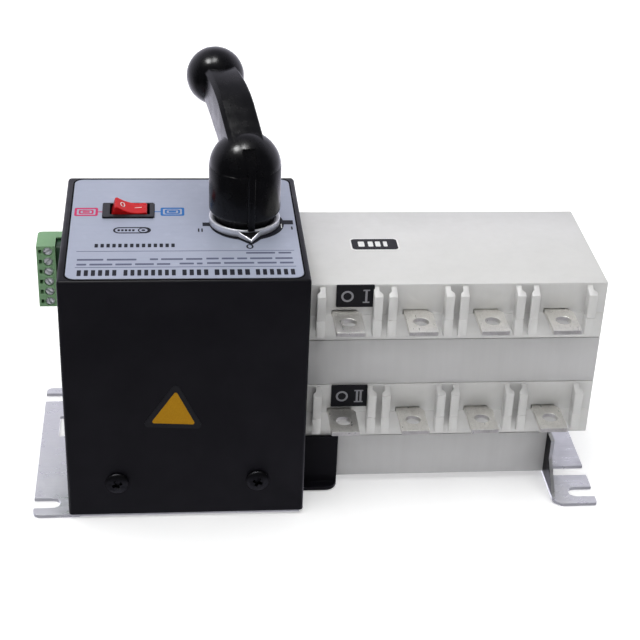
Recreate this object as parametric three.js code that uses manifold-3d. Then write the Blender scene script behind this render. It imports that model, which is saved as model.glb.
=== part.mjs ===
// Four-pole changeover (transfer) switch with a pull-off hand lever, a geared motor drive
// inside a sheet-steel mechanism cover, and two stacked switch units bridged on the load side.
// Millimetres, +Z up. X runs along the poles, -Y is the source terminal side.
// The origin lies in the mounting plane, in the middle of the overall outline.

import * as THREE from 'three';
import { mergeVertices } from 'three/addons/utils/BufferGeometryUtils.js';
import Module from 'manifold-3d';

const wasm = await Module();
wasm.setup();

// ---------------------------------------------------------------- driving dimensions

const GAP = 0.3;                       // clearance between neighbouring pieces
const SHEET = 1.5;                     // thickness of the plated steel sheet

const HALF_LENGTH = 122.76;            // middle of the outline to the ends of the feet
const OUTLINE_CENTRE_Y = 31.4;         // middle of the outline, from the switch front wall

// Distances in Y below are counted from the front wall of the switch units.
const FOOT_CENTRE_Y = 28.95;
const FOOT_HALF_DEPTH = 51.05;
const SLOT_SPACING = 85;
const SLOT_WIDTH = 7;
const SLOT_DEPTH = 11.3;
const SPARE_SLOT_INSET = 16.5;

const COVER = { x0: -107.4, x1: -7.6, y0: -22.9, y1: 74.3, z0: 1.8, z1: 113.9 };
const COVER_WALL = 1.2;
const COVER_RADIUS = 1.8;
const SCREW_X = [-86.6, -27.5];
const SCREW_Z = 18.2;
const SCREW_HEAD_RADIUS = 4.85;
const SCREW_HEAD_HEIGHT = 2;
const SCREW_SHANK_RADIUS = 2;

const LABEL = { x0: -104.1, x1: -10.4, y0: -21.3, y1: 72.4, thickness: 0.3, radius: 4 };

const COVER_SEAT = COVER.z1 + 0.1;      // underside of what rests on the cover
const SPINDLE_HOLE = 10.3;             // radius of the hole round the spindle bush

const SPINDLE = { x: -31.9, y: 28, radius: 6, square: 10, z0: 62.4, shoulder: 119, z1: 136 };

const POLE_PITCH = 30;
const POLES = 4;
const FIRST_POLE_X = 9.7;
const UNIT = { x0: -7.3, x1: 119.7, y0: 0, y1: 69.2, wall: 2.2, end: 2.5, partition: 2 };
const UNIT_PITCH = 48.3;
const UNIT_TOP = 99.5;
const SPLIT_Z = 85.1;                  // lid to tray joint of the upper unit
const TRAY_BOTTOM_Z = 73;
const BASE_BOTTOM_Z = 51.1;
const LOWER_BASE = { x1: 102.35, z0: 3.7 };
const BRACKET_TOP = TRAY_BOTTOM_Z - UNIT_PITCH - GAP;   // both brackets end under the lower tray

const TAB = {
  width: 12,
  thickness: 2,
  reach: 18.5,
  hole: 3.25,
  holeInset: 8.6,
  inner: 25.6,
  shoulder: 2.2,
};
const LOAD_DROP = 4.6;                 // load bars lie this far below the source tabs
const BRIDGE_Y = 76;                   // inner face of the upright part of a load bar
const LOAD_HOLE_INSET = 4.8;           // hole centre to the rear end of a load tab

const RIB = { thin: 2.3, lip: 3.6, depth: 5.1, straightSide: 4.85, bottomRise: 4.2, slope: 2.5 };
const RIB_PAIR_X = 25.3;               // middle of the first pair of ribs
const RIB_END_X = [0.4, 110.9];        // straight sides of the two single ribs

const SHAFT = { y: 34.6, z: 83.8, radius: 6, x0: -18, x1: 113.5 };
const BLADE = { half: 11.7, width: 10, thickness: 2, tilt: THREE.MathUtils.degToRad(30) };
const SHAFT_CRANK = 14;
const SPINDLE_CRANK = 7;

const GEAR = { module: 1.5, driven: 24, driver: 20, z0: 96, z1: 102 };
const MOTOR_X = SPINDLE.x - GEAR.module * (GEAR.driven + GEAR.driver) / 2;
const DECK = { x0: -100, x1: -20, y0: -16, y1: 68, z0: 70, z1: 72 };
const SLIDE = { x0: -48, x1: -12.5, y0: 12, y1: 48, z0: 54, z1: 57 };

const HANDLE = {
  neck: 12.6,
  skirt: 14.9,
  z0: 116.2,
  neckTop: 118.2,
  collar: 120.3,
  split: 141,
  domeCentre: 139.9,
};
const POINTER_TURN = THREE.MathUtils.degToRad(5.5);
const KNOB = { x: -42.8, y: 73.5, z: 162, radius: 12.25 };

const ROCKER = {
  x: -80.3,
  y: 39.8,
  pivotZ: 113,
  bezelX: 10.6,
  bezelY: 6.8,
  bezelTop: 116.2,
  wellX: 9.9,
  wellY: 6.1,
  openX: 8.9,
  openY: 5.2,
};

const PLUG = { x0: -122, x1: -113.7, y0: 60, y1: 75, z0: 57.3, z1: 87.5, ways: 6, pitch: 5 };

// ---------------------------------------------------------------- materials

function surface(color, roughness, metalness) {
  return new THREE.MeshStandardMaterial({ color, roughness, metalness });
}

const zincSteel = surface(0xc3c6d0, 0.35, 0.9);
const tinnedCopper = surface(0xc9c8c4, 0.35, 0.9);
const copper = surface(0xb87350, 0.35, 0.9);
const steel = surface(0x9a9ca0, 0.35, 0.95);
const brass = surface(0xb59a54, 0.35, 0.9);
const blackPaint = surface(0x1b1b20, 0.5, 0.1);
const blackPlastic = surface(0x101014, 0.3, 0);
const creamPlastic = surface(0xdcdcd8, 0.5, 0);
const greyPlastic = surface(0xb4b4b4, 0.5, 0);
const labelFilm = surface(0xb4bacf, 0.45, 0.1);
const redPlastic = surface(0xc42a28, 0.3, 0);
const greenPlastic = surface(0x5f8e5c, 0.5, 0);
const darkGreenPlastic = surface(0x23402c, 0.5, 0);
const boardGreen = surface(0x1e5b3a, 0.5, 0);

// ---------------------------------------------------------------- geometry helpers

function weld(geometry) {
  const bare = geometry.clone();
  bare.deleteAttribute('normal');
  bare.deleteAttribute('uv');
  return mergeVertices(bare, 1e-4);
}

function toSolid(geometry) {
  const welded = weld(geometry);
  const vertProperties = new Float32Array(welded.attributes.position.array);
  const triVerts = new Uint32Array(welded.index.array);
  return new wasm.Manifold(new wasm.Mesh({ numProp: 3, vertProperties, triVerts }));
}

function toGeometry(solid) {
  const mesh = solid.getMesh();
  const geometry = new THREE.BufferGeometry();
  geometry.setAttribute('position', new THREE.BufferAttribute(mesh.vertProperties, 3));
  geometry.setIndex(new THREE.BufferAttribute(mesh.triVerts, 1));
  geometry.computeVertexNormals();
  return geometry;
}

function join(first, ...others) {
  let solid = toSolid(first);
  for (const other of others) {
    solid = solid.add(toSolid(other));
  }
  return toGeometry(solid);
}

function cut(body, ...tools) {
  let solid = toSolid(body);
  for (const tool of tools) {
    solid = solid.subtract(toSolid(tool));
  }
  return toGeometry(solid);
}

function box(x0, x1, y0, y1, z0, z1) {
  const geometry = new THREE.BoxGeometry(x1 - x0, y1 - y0, z1 - z0);
  return geometry.translate((x0 + x1) / 2, (y0 + y1) / 2, (z0 + z1) / 2);
}

function polygon(points) {
  return new THREE.Shape(points.map(([a, b]) => new THREE.Vector2(a, b)));
}

// A rectangle with rounded corners; radii are given from the low corner round anticlockwise.
function roundedRectangle(x0, x1, y0, y1, r00, r10 = r00, r11 = r00, r01 = r00) {
  const shape = new THREE.Shape();
  shape.moveTo(x0 + r00, y0);
  shape.lineTo(x1 - r10, y0);
  shape.absarc(x1 - r10, y0 + r10, r10, -Math.PI / 2, 0);
  shape.lineTo(x1, y1 - r11);
  shape.absarc(x1 - r11, y1 - r11, r11, 0, Math.PI / 2);
  shape.lineTo(x0 + r01, y1);
  shape.absarc(x0 + r01, y1 - r01, r01, Math.PI / 2, Math.PI);
  shape.lineTo(x0, y0 + r00);
  shape.absarc(x0 + r00, y0 + r00, r00, Math.PI, 1.5 * Math.PI);
  return shape;
}

// Outline in X and Y, drawn out along Z.
function extrudeZ(shape, z0, z1, curveSegments = 3) {
  const options = { depth: z1 - z0, bevelEnabled: false, curveSegments };
  return new THREE.ExtrudeGeometry(shape, options).translate(0, 0, z0);
}

// Outline in X and Z, drawn out along Y.
function extrudeY(shape, y0, y1, curveSegments = 3) {
  const options = { depth: y1 - y0, bevelEnabled: false, curveSegments };
  return new THREE.ExtrudeGeometry(shape, options).rotateX(Math.PI / 2).translate(0, y1, 0);
}

// Outline in Y and Z, drawn out along X.
function extrudeX(shape, x0, x1, curveSegments = 3) {
  const options = { depth: x1 - x0, bevelEnabled: false, curveSegments };
  const turn = new THREE.Matrix4().set(0, 0, 1, 0, 1, 0, 0, 0, 0, 1, 0, 0, 0, 0, 0, 1);
  return new THREE.ExtrudeGeometry(shape, options).applyMatrix4(turn).translate(x0, 0, 0);
}

function rodX(radius, x0, x1, y, z, segments = 16) {
  const rod = new THREE.CylinderGeometry(radius, radius, x1 - x0, segments);
  return rod.rotateZ(Math.PI / 2).translate((x0 + x1) / 2, y, z);
}

function rodY(radius, y0, y1, x, z, segments = 16) {
  const rod = new THREE.CylinderGeometry(radius, radius, y1 - y0, segments);
  return rod.translate(x, (y0 + y1) / 2, z);
}

function rodZ(radius, z0, z1, x, y, segments = 16) {
  const rod = new THREE.CylinderGeometry(radius, radius, z1 - z0, segments);
  return rod.rotateX(Math.PI / 2).translate(x, y, (z0 + z1) / 2);
}

// Profile points are [radius, height]; the axis of the turned piece is vertical.
function turned(points, x, y, segments = 24) {
  const profile = points.map(([radius, height]) => new THREE.Vector2(radius, height));
  return new THREE.LatheGeometry(profile, segments).rotateX(Math.PI / 2).translate(x, y, 0);
}

// ---------------------------------------------------------------- assembly

const machine = new THREE.Group();
const transferSwitch = new THREE.Group();
machine.position.y = -OUTLINE_CENTRE_Y;
transferSwitch.add(machine);

function add(name, geometry, material) {
  const mesh = new THREE.Mesh(geometry, material);
  mesh.name = name;
  machine.add(mesh);
}

// ---------------------------------------------------------------- sheet-metal base and feet

// An open-ended slot cut from the outer end of a foot, with a round inner end.
// side is +1 for the right foot and -1 for the left foot.
function footSlot(side, y, depth) {
  const inner = side * (HALF_LENGTH - depth + SLOT_WIDTH / 2);
  const outer = side * (HALF_LENGTH + 1);
  const low = Math.min(inner, outer);
  const high = Math.max(inner, outer);
  const channel = box(low, high, y - SLOT_WIDTH / 2, y + SLOT_WIDTH / 2, -1, SHEET + 1);
  const end = rodZ(SLOT_WIDTH / 2, -1, SHEET + 1, inner, y, 12);
  return join(channel, end);
}

const FOOT_Y0 = FOOT_CENTRE_Y - FOOT_HALF_DEPTH;
const FOOT_Y1 = FOOT_CENTRE_Y + FOOT_HALF_DEPTH;
const FRONT_SLOT_Y = FOOT_CENTRE_Y - SLOT_SPACING / 2;
const REAR_SLOT_Y = FOOT_CENTRE_Y + SLOT_SPACING / 2;

function basePlate() {
  const inside = { x0: COVER.x0 + COVER_WALL + GAP, x1: COVER.x1 - COVER_WALL - GAP };
  const y0 = COVER.y0 + COVER_WALL + GAP;
  const y1 = COVER.y1 - COVER_WALL - GAP;
  const floor = box(inside.x0, inside.x1, y0, y1, 0, SHEET);
  const footOutline = roundedRectangle(-HALF_LENGTH, inside.x0 + 4, FOOT_Y0, FOOT_Y1, 3, 2, 2, 3);
  const foot = extrudeZ(footOutline, 0, SHEET);
  const flangeTop = SCREW_Z + 8;
  const frontFlange = box(inside.x0, inside.x1, y0, y0 + SHEET, 0, flangeTop);
  const rearFlange = box(inside.x0, inside.x1, y1 - SHEET, y1, 0, flangeTop);
  const window = extrudeZ(roundedRectangle(-115.2, -104, 38, 55, 1), -1, SHEET + 1);
  const holes = SCREW_X.map((x) => rodY(SCREW_SHANK_RADIUS + GAP, y0 - 1, y1 + 1, x, SCREW_Z, 10));
  const plate = join(floor, foot, frontFlange, rearFlange);
  return cut(
    plate,
    footSlot(-1, FRONT_SLOT_Y, SLOT_DEPTH),
    footSlot(-1, REAR_SLOT_Y, SLOT_DEPTH),
    window,
    ...holes,
  );
}

// Upright web against the right end of the lower switch base, bent out into a slotted foot.
function rightMountingBracket() {
  const webX = LOWER_BASE.x1 + GAP;
  const webFront = -7;
  const webRear = 2 * FOOT_CENTRE_Y - webFront;
  const inset = 3;
  const slopeTop = 15;
  const outline = [
    [FOOT_Y0 + inset, 0],
    [FOOT_Y1 - inset, 0],
    [FOOT_Y1 - inset, inset],
    [webRear, slopeTop],
    [webRear, BRACKET_TOP],
    [webFront, BRACKET_TOP],
    [webFront, slopeTop],
    [FOOT_Y0 + inset, inset],
  ];
  const web = extrudeX(polygon(outline), webX, webX + SHEET);
  const footOutline = roundedRectangle(webX, HALF_LENGTH, FOOT_Y0, FOOT_Y1, 4.5, 1, 1, 4.5);
  const foot = extrudeZ(footOutline, 0, SHEET);
  const spareDepth = HALF_LENGTH - webX - SHEET - 0.6;
  return cut(
    join(web, foot),
    footSlot(1, FRONT_SLOT_Y, SLOT_DEPTH),
    footSlot(1, REAR_SLOT_Y, SLOT_DEPTH),
    footSlot(1, FRONT_SLOT_Y + SPARE_SLOT_INSET, spareDepth),
    footSlot(1, REAR_SLOT_Y - SPARE_SLOT_INSET, spareDepth),
  );
}

// Black folded bracket that ties the lower switch base to the mechanism: a web with two legs
// that lap the base walls, each leg turned out at the bottom into a small round-cornered toe.
function couplingBracket() {
  const webX0 = UNIT.x0;
  const legX1 = 9.2;
  const front = -GAP;
  const rear = UNIT.y1 + GAP;
  const top = BRACKET_TOP;
  const bottom = 0.3;
  const toe = 4.9;
  const web = box(webX0, webX0 + SHEET, front - SHEET, rear + SHEET, bottom, top);
  const frontLeg = box(webX0, legX1, front - SHEET, front, bottom, top);
  const rearLeg = box(webX0, legX1, rear, rear + SHEET, bottom, top);
  const frontToe = roundedRectangle(webX0, legX1, front - SHEET - toe, front, 0.2, 5.5, 0.2, 0.2);
  const rearToe = roundedRectangle(webX0, legX1, rear, rear + SHEET + toe, 0.2, 0.2, 5.5, 0.2);
  return join(
    web,
    frontLeg,
    rearLeg,
    extrudeZ(frontToe, bottom, bottom + SHEET),
    extrudeZ(rearToe, bottom, bottom + SHEET),
  );
}

add('base_plate', basePlate(), zincSteel);
add('right_mounting_bracket', rightMountingBracket(), zincSteel);
add('coupling_bracket', couplingBracket(), blackPaint);

// ---------------------------------------------------------------- mechanism cover and label

const HEADER = { x0: -113.4, x1: -104.7, y0: 61.3, y1: 72, z0: 58.2, z1: 86.4 };
const SHAFT_HEIGHTS = { upper: SHAFT.z, lower: SHAFT.z - UNIT_PITCH };

function mechanismCover() {
  const r = COVER_RADIUS;
  const outline = roundedRectangle(COVER.x0 + r, COVER.x1 - r, COVER.y0 + r, COVER.y1 - r, 0.6);
  const options = {
    depth: COVER.z1 - COVER.z0,
    bevelSize: r,
    bevelThickness: r,
    bevelSegments: 2,
    curveSegments: 1,
  };
  const outer = new THREE.ExtrudeGeometry(outline, options).translate(0, 0, COVER.z0 - r);
  const cavity = box(
    COVER.x0 + COVER_WALL, COVER.x1 - COVER_WALL,
    COVER.y0 + COVER_WALL, COVER.y1 - COVER_WALL,
    COVER.z0 - 4 * r, COVER.z1 - COVER_WALL,
  );
  const skirt = box(COVER.x0 - 1, COVER.x1 + 1, COVER.y0 - 1, COVER.y1 + 1, COVER.z0 - 4 * r, COVER.z0);
  const screwHoles = SCREW_X.map((x) => {
    return rodY(SCREW_SHANK_RADIUS + GAP, COVER.y0 - 1, COVER.y1 + 1, x, SCREW_Z, 10);
  });
  const shaftHoles = Object.values(SHAFT_HEIGHTS).map((z) => {
    return rodX(SHAFT.radius + 1, COVER.x1 - 3, COVER.x1 + 1, SHAFT.y, z, 14);
  });
  const rockerHole = box(
    ROCKER.x - ROCKER.wellX - GAP, ROCKER.x + ROCKER.wellX + GAP,
    ROCKER.y - ROCKER.wellY - GAP, ROCKER.y + ROCKER.wellY + GAP,
    COVER.z1 - 3, COVER.z1 + 1,
  );
  const spindleHole = rodZ(SPINDLE_HOLE, COVER.z1 - 3, COVER.z1 + 1, SPINDLE.x, SPINDLE.y, 20);
  const headerHole = box(
    COVER.x0 - 1, COVER.x0 + 3, HEADER.y0 - GAP, HEADER.y1 + GAP, HEADER.z0 - GAP, HEADER.z1 + GAP,
  );
  return cut(outer, cavity, skirt, ...screwHoles, ...shaftHoles, rockerHole, spindleHole, headerHole);
}

function coverLabel() {
  const outline = roundedRectangle(LABEL.x0, LABEL.x1, LABEL.y0, LABEL.y1, LABEL.radius);
  const sheet = extrudeZ(outline, COVER_SEAT, COVER_SEAT + LABEL.thickness);
  const rockerHole = box(
    ROCKER.x - ROCKER.bezelX - GAP, ROCKER.x + ROCKER.bezelX + GAP,
    ROCKER.y - ROCKER.bezelY - GAP, ROCKER.y + ROCKER.bezelY + GAP,
    COVER.z1 - 1, COVER.z1 + 2,
  );
  const spindleHole = rodZ(SPINDLE_HOLE, COVER.z1 - 1, COVER.z1 + 2, SPINDLE.x, SPINDLE.y, 20);
  return cut(sheet, rockerHole, spindleHole);
}

// Pan-head screw with a cross recess; inward is +1 on the front wall and -1 on the rear wall.
function coverScrew(x, wallY, inward) {
  const headInner = wallY - inward * 0.1;
  const headOuter = headInner - inward * SCREW_HEAD_HEIGHT;
  const shankEnd = wallY + inward * 5;
  const span = (a, b) => [Math.min(a, b), Math.max(a, b)];
  const head = rodY(SCREW_HEAD_RADIUS, ...span(headInner, headOuter), x, SCREW_Z, 16);
  const shank = rodY(SCREW_SHANK_RADIUS, ...span(headInner - inward * 0.5, shankEnd), x, SCREW_Z, 10);
  const [recess0, recess1] = span(headOuter - inward, headOuter + inward * 1.2);
  const slotA = box(x - 2.4, x + 2.4, recess0, recess1, SCREW_Z - 0.5, SCREW_Z + 0.5);
  const slotB = box(x - 0.5, x + 0.5, recess0, recess1, SCREW_Z - 2.4, SCREW_Z + 2.4);
  return cut(join(head, shank), slotA, slotB);
}

add('mechanism_cover', mechanismCover(), blackPaint);
add('cover_label', coverLabel(), labelFilm);
add('cover_screw_front_left', coverScrew(SCREW_X[0], COVER.y0, 1), blackPaint);
add('cover_screw_front_right', coverScrew(SCREW_X[1], COVER.y0, 1), blackPaint);
add('cover_screw_rear_left', coverScrew(SCREW_X[0], COVER.y1, -1), blackPaint);
add('cover_screw_rear_right', coverScrew(SCREW_X[1], COVER.y1, -1), blackPaint);

// ---------------------------------------------------------------- rocker switch

function rockerHousing() {
  const { x, y, pivotZ, bezelX, bezelY, bezelTop, wellX, wellY, openX, openY } = ROCKER;
  const outline = roundedRectangle(x - bezelX, x + bezelX, y - bezelY, y + bezelY, 0.8);
  const bezel = extrudeZ(outline, COVER_SEAT, bezelTop, 2);
  const well = box(x - wellX, x + wellX, y - wellY, y + wellY, pivotZ - 10, COVER_SEAT + 0.5);
  const cavity = box(x - openX, x + openX, y - openY, y + openY, pivotZ - 9, bezelTop + 1);
  const pivotHole = rodY(1.2, y - 5.8, y + 5.8, x, pivotZ, 12);
  return cut(join(bezel, well), cavity, pivotHole);
}

// Rocker seen from the front: two raised tips with a shallow valley, a round underside,
// and the left tip standing up.
function rockerButton() {
  const { x, y, pivotZ } = ROCKER;
  const radius = 7.3;
  const shape = new THREE.Shape();
  shape.moveTo(-radius, 0);
  shape.absarc(0, 0, radius, Math.PI, 2 * Math.PI);
  shape.lineTo(7.6, 5.6);
  shape.lineTo(6.6, 5.9);
  shape.lineTo(0, 4);
  shape.lineTo(-6.6, 5.9);
  shape.lineTo(-7.6, 5.6);
  const blade = extrudeY(shape, -4.9, 4.9, 8);
  const pivot = rodY(0.9, -5.6, 5.6, 0, 0, 12);
  return join(blade, pivot).rotateY(THREE.MathUtils.degToRad(12)).translate(x, y, pivotZ);
}

add('rocker_housing', rockerHousing(), blackPlastic);
add('rocker_button', rockerButton(), redPlastic);

// ---------------------------------------------------------------- spindle, gears and motor

function gearOutline(teeth, phase) {
  const pitchRadius = GEAR.module * teeth / 2;
  const tip = pitchRadius + 0.65 * GEAR.module;
  const root = pitchRadius - 1 * GEAR.module;
  const step = 2 * Math.PI / teeth;
  const points = [];
  for (let tooth = 0; tooth < teeth; tooth += 1) {
    const middle = phase + tooth * step;
    for (const [radius, offset] of [[root, -0.26], [tip, -0.11], [tip, 0.11], [root, 0.26]]) {
      const angle = middle + offset * step;
      points.push([radius * Math.cos(angle), radius * Math.sin(angle)]);
    }
  }
  return polygon(points);
}

function spindle() {
  const { x, y, radius, square, z0, shoulder, z1 } = SPINDLE;
  const round = rodZ(radius, z0, shoulder, x, y, 16);
  const half = square / 2;
  const drive = box(x - half, x + half, y - half, y + half, shoulder - 1, z1);
  const flat = box(x - radius - 1, x - radius + 1.5, y - radius, y + radius, GEAR.z0 - 2, GEAR.z1 + 1);
  return cut(join(round, drive), flat);
}

// Crank arm clamped under the spindle, with its pin hanging into the slide below.
function spindleCrank() {
  const { x, y, z0 } = SPINDLE;
  const armZ0 = 61;
  const armZ1 = 66;
  const arm = new THREE.Shape();
  arm.absarc(0, 0, 10, -Math.PI / 2.4, Math.PI / 2.4);
  arm.absarc(-SPINDLE_CRANK, 0, 4, Math.PI / 1.6, 1.375 * Math.PI);
  const plate = extrudeZ(arm, armZ0, armZ1, 6).translate(x, y, 0);
  const pin = rodZ(3, SLIDE.z0 + 0.3, armZ0 + 1, x - SPINDLE_CRANK, y, 12);
  const bore = rodZ(SPINDLE.radius + GAP, z0 - GAP, armZ1 + 1, x, y, 16);
  return join(cut(plate, bore), pin);
}

function driveGear() {
  const wheel = extrudeZ(gearOutline(GEAR.driven, 0), GEAR.z0, GEAR.z1);
  const hub = rodZ(10, GEAR.z0 - 6, GEAR.z0 + 1, 0, 0);
  const bore = rodZ(SPINDLE.radius + GAP, GEAR.z0 - 8, GEAR.z1 + 1, 0, 0);
  return cut(join(wheel, hub), bore).translate(SPINDLE.x, SPINDLE.y, 0);
}

function motorGear() {
  const halfStep = Math.PI / GEAR.driver;
  const wheel = extrudeZ(gearOutline(GEAR.driver, halfStep), GEAR.z0, GEAR.z1);
  const shaft = rodZ(3, DECK.z0 - 5, GEAR.z1 + 0.5, 0, 0, 12);
  const hub = rodZ(6, GEAR.z0 - 6, GEAR.z0 + 1, 0, 0, 12);
  return join(wheel, hub, shaft).translate(MOTOR_X, SPINDLE.y, 0);
}

function gearMotor() {
  const can = rodZ(15, 26, 61, MOTOR_X, SPINDLE.y, 20);
  const gearbox = box(MOTOR_X - 17, MOTOR_X + 15, SPINDLE.y - 17, SPINDLE.y + 17, 60, DECK.z0 - GAP);
  const bore = rodZ(3.4, DECK.z0 - 6, DECK.z0 + 1, MOTOR_X, SPINDLE.y, 12);
  return cut(join(can, gearbox), bore);
}

// Plate on four legs that carries the motor, the lower spindle bush and the limit switches.
function mechanismDeck() {
  const plate = box(DECK.x0, DECK.x1, DECK.y0, DECK.y1, DECK.z0, DECK.z1);
  const legs = [];
  for (const x of [DECK.x0 + 4, DECK.x1 - 4]) {
    for (const y of [DECK.y0 + 4, DECK.y1 - 4]) {
      legs.push(box(x - 3.5, x + 3.5, y - 3.5, y + 3.5, SHEET + GAP, DECK.z0 + 0.5));
    }
  }
  const bushHole = rodZ(10 + GAP, DECK.z0 - 1, DECK.z1 + 1, SPINDLE.x, SPINDLE.y);
  const motorHole = rodZ(4, DECK.z0 - 1, DECK.z1 + 1, MOTOR_X, SPINDLE.y, 12);
  return cut(join(plate, ...legs), bushHole, motorHole);
}

// Flanged bush: the neck sits in its plate and the flange bears on one side of it.
function bush(neckZ0, neckZ1, flangeZ0, flangeZ1, flangeRadius) {
  const neck = rodZ(9.9, neckZ0, neckZ1, SPINDLE.x, SPINDLE.y);
  const flange = rodZ(flangeRadius, flangeZ0, flangeZ1, SPINDLE.x, SPINDLE.y);
  const bore = rodZ(SPINDLE.radius + 0.2, neckZ0 - 9, neckZ1 + 9, SPINDLE.x, SPINDLE.y);
  return cut(join(neck, flange), bore);
}

// Silver dial ring with a triangular pointer to the marks printed on the label.
function positionIndicator() {
  const z0 = 114.7;
  const floor = 115.9;
  const rim = 117.8;
  const profile = [
    [9.5, z0],
    [14.7, z0],
    [14.9, rim],
    [14, rim],
    [13.1, floor],
    [9.5, floor],
    [9.5, z0],
  ];
  const ring = turned(profile, 0, 0, 28);
  const triangle = polygon([[-4.8, -13.6], [0, -19.8], [4.8, -13.6]]);
  const pointer = extrudeZ(triangle, z0, 116.6).rotateZ(POINTER_TURN);
  const web = cut(rodZ(10, z0, floor, 0, 0, 28), rodZ(SPINDLE.radius + GAP, z0 - 1, rim + 1, 0, 0));
  return join(ring, pointer, web).translate(SPINDLE.x, SPINDLE.y, 0);
}

function limitSwitch(x, y) {
  const body = box(x - 10, x + 10, y - 3.2, y + 3.2, DECK.z1 + GAP, DECK.z1 + 10.6);
  const lever = box(x - 9, x + 8, y - 2, y + 2, DECK.z1 + 10, DECK.z1 + 11.4);
  const roller = rodY(2.2, y - 2, y + 2, x + 8, DECK.z1 + 12, 12);
  return join(body, lever, roller);
}

add('mechanism_deck', mechanismDeck(), steel);
add('gear_motor', gearMotor(), steel);
add('motor_gear', motorGear(), brass);
add('spindle', spindle(), steel);
add('spindle_crank', spindleCrank(), steel);
add('drive_gear', driveGear(), brass);
add('spindle_bush_upper', bush(103, COVER.z1 + GAP, 109, COVER.z1 - COVER_WALL - GAP, 15), brass);
add('spindle_bush_lower', bush(DECK.z0 - 0.5, DECK.z1 + 4, DECK.z1 + GAP, DECK.z1 + 3, 12.3), brass);
add('position_indicator', positionIndicator(), zincSteel);
add('limit_switch_source_1', limitSwitch(-48, 58), blackPlastic);
add('limit_switch_source_2', limitSwitch(-48, -4), blackPlastic);

// ---------------------------------------------------------------- transfer slide and guide

// Plate moved in Y by the spindle crank, with an upright ear that turns both contact shafts.
function transferSlide() {
  const plate = box(SLIDE.x0, SLIDE.x1, SLIDE.y0, SLIDE.y1, SLIDE.z0, SLIDE.z1);
  const earX0 = SLIDE.x1 - 0.5;
  const earX1 = SLIDE.x1 + 2;
  const ear = box(earX0, earX1, SHAFT.y - 9, SHAFT.y + 9, 42.9, 76.4);
  const yokeWidth = 4.8;
  const yoke = box(
    SPINDLE.x - SPINDLE_CRANK - 3.4, SPINDLE.x + 3.4,
    SPINDLE.y - yokeWidth, SPINDLE.y + yokeWidth, SLIDE.z0 - 1, SLIDE.z1 + 1,
  );
  const slotHalf = 2.5;
  const pinTravel = 1.9;
  const pinSlot = (z0, z1) => {
    return box(earX0 - 1, earX1 + 1, SHAFT.y - slotHalf, SHAFT.y + slotHalf, z0, z1);
  };
  const upperPin = SHAFT_HEIGHTS.upper - SHAFT_CRANK;
  const lowerPin = SHAFT_HEIGHTS.lower + SHAFT_CRANK;
  const upperSlot = pinSlot(upperPin - slotHalf, upperPin + slotHalf + pinTravel);
  const lowerSlot = pinSlot(lowerPin - slotHalf - pinTravel, lowerPin + slotHalf);
  return cut(join(plate, ear), yoke, upperSlot, lowerSlot);
}

function slideGuide() {
  const x0 = -52;
  const x1 = -18.5;
  const y0 = -2;
  const y1 = 58;
  const tableZ = 50;
  const leg = 2.5;
  const table = box(x0, x1, y0, y1, tableZ, SLIDE.z0 - GAP);
  const lip = box(x0, SLIDE.x0 - GAP, y0, y1, SLIDE.z0 - 2, SLIDE.z1 + 1);
  const frontLeg = box(x0, x1, y0, y0 + leg, SHEET + GAP, tableZ + 1);
  const rearLeg = box(x0, x1, y1 - leg, y1, SHEET + GAP, tableZ + 1);
  const motorRelief = rodZ(15.6, 40, 70, MOTOR_X, SPINDLE.y, 20);
  return cut(join(table, lip, frontLeg, rearLeg), motorRelief);
}

add('transfer_slide', transferSlide(), steel);
add('slide_guide', slideGuide(), steel);

// ---------------------------------------------------------------- control board and plug

function controlBoard() {
  const x0 = HEADER.x1 + 0.3;
  const board = box(x0, x0 + 1.6, 0, 71, 40, 94);
  const relayA = box(x0 + 1, x0 + 14, 4, 22, 72, 90);
  const relayB = box(x0 + 1, x0 + 14, 28, 46, 74, 92);
  const supply = box(x0 + 1, x0 + 12, 6, 30, 46, 60);
  return join(board, relayA, relayB, supply);
}

function terminalHeader() {
  const { x0, x1, y0, y1, z0, z1 } = HEADER;
  const shell = box(x0, x1, y0, y1, z0, z1);
  const cavity = box(x0 - 1, x1 - 1.2, 63, 70.4, z0 + 1.8, z1 - 1.8);
  return cut(shell, cavity);
}

function terminalPlug() {
  const { x0, x1, y0, y1, z0, z1, ways, pitch } = PLUG;
  const body = box(x0, x1, y0, y1, z0, z1);
  const tongue = box(x1 - 0.5, HEADER.x1 - 1.6, 63.3, 70.1, HEADER.z0 + 2.1, HEADER.z1 - 2.1);
  const middle = (z0 + z1) / 2;
  const tools = [];
  for (let way = 0; way < ways; way += 1) {
    const z = middle + (way - (ways - 1) / 2) * pitch;
    tools.push(rodY(2.1, y0 - 1, y0 + 1.6, x0 + 5, z, 10));
    tools.push(box(x0 + 0.9, x0 + 2.3, y0 - 1, y0 + 5, z - 1, z + 1));
  }
  return cut(join(body, tongue), ...tools);
}

function motorCapacitor() {
  return rodX(8, -97, -62, 52, 14);
}

add('control_board', controlBoard(), boardGreen);
add('terminal_header', terminalHeader(), darkGreenPlastic);
add('terminal_plug', terminalPlug(), greenPlastic);
add('motor_capacitor', motorCapacitor(), blackPlastic);

// ---------------------------------------------------------------- switch unit housings

const HALF_GAP = GAP / 2;

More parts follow.
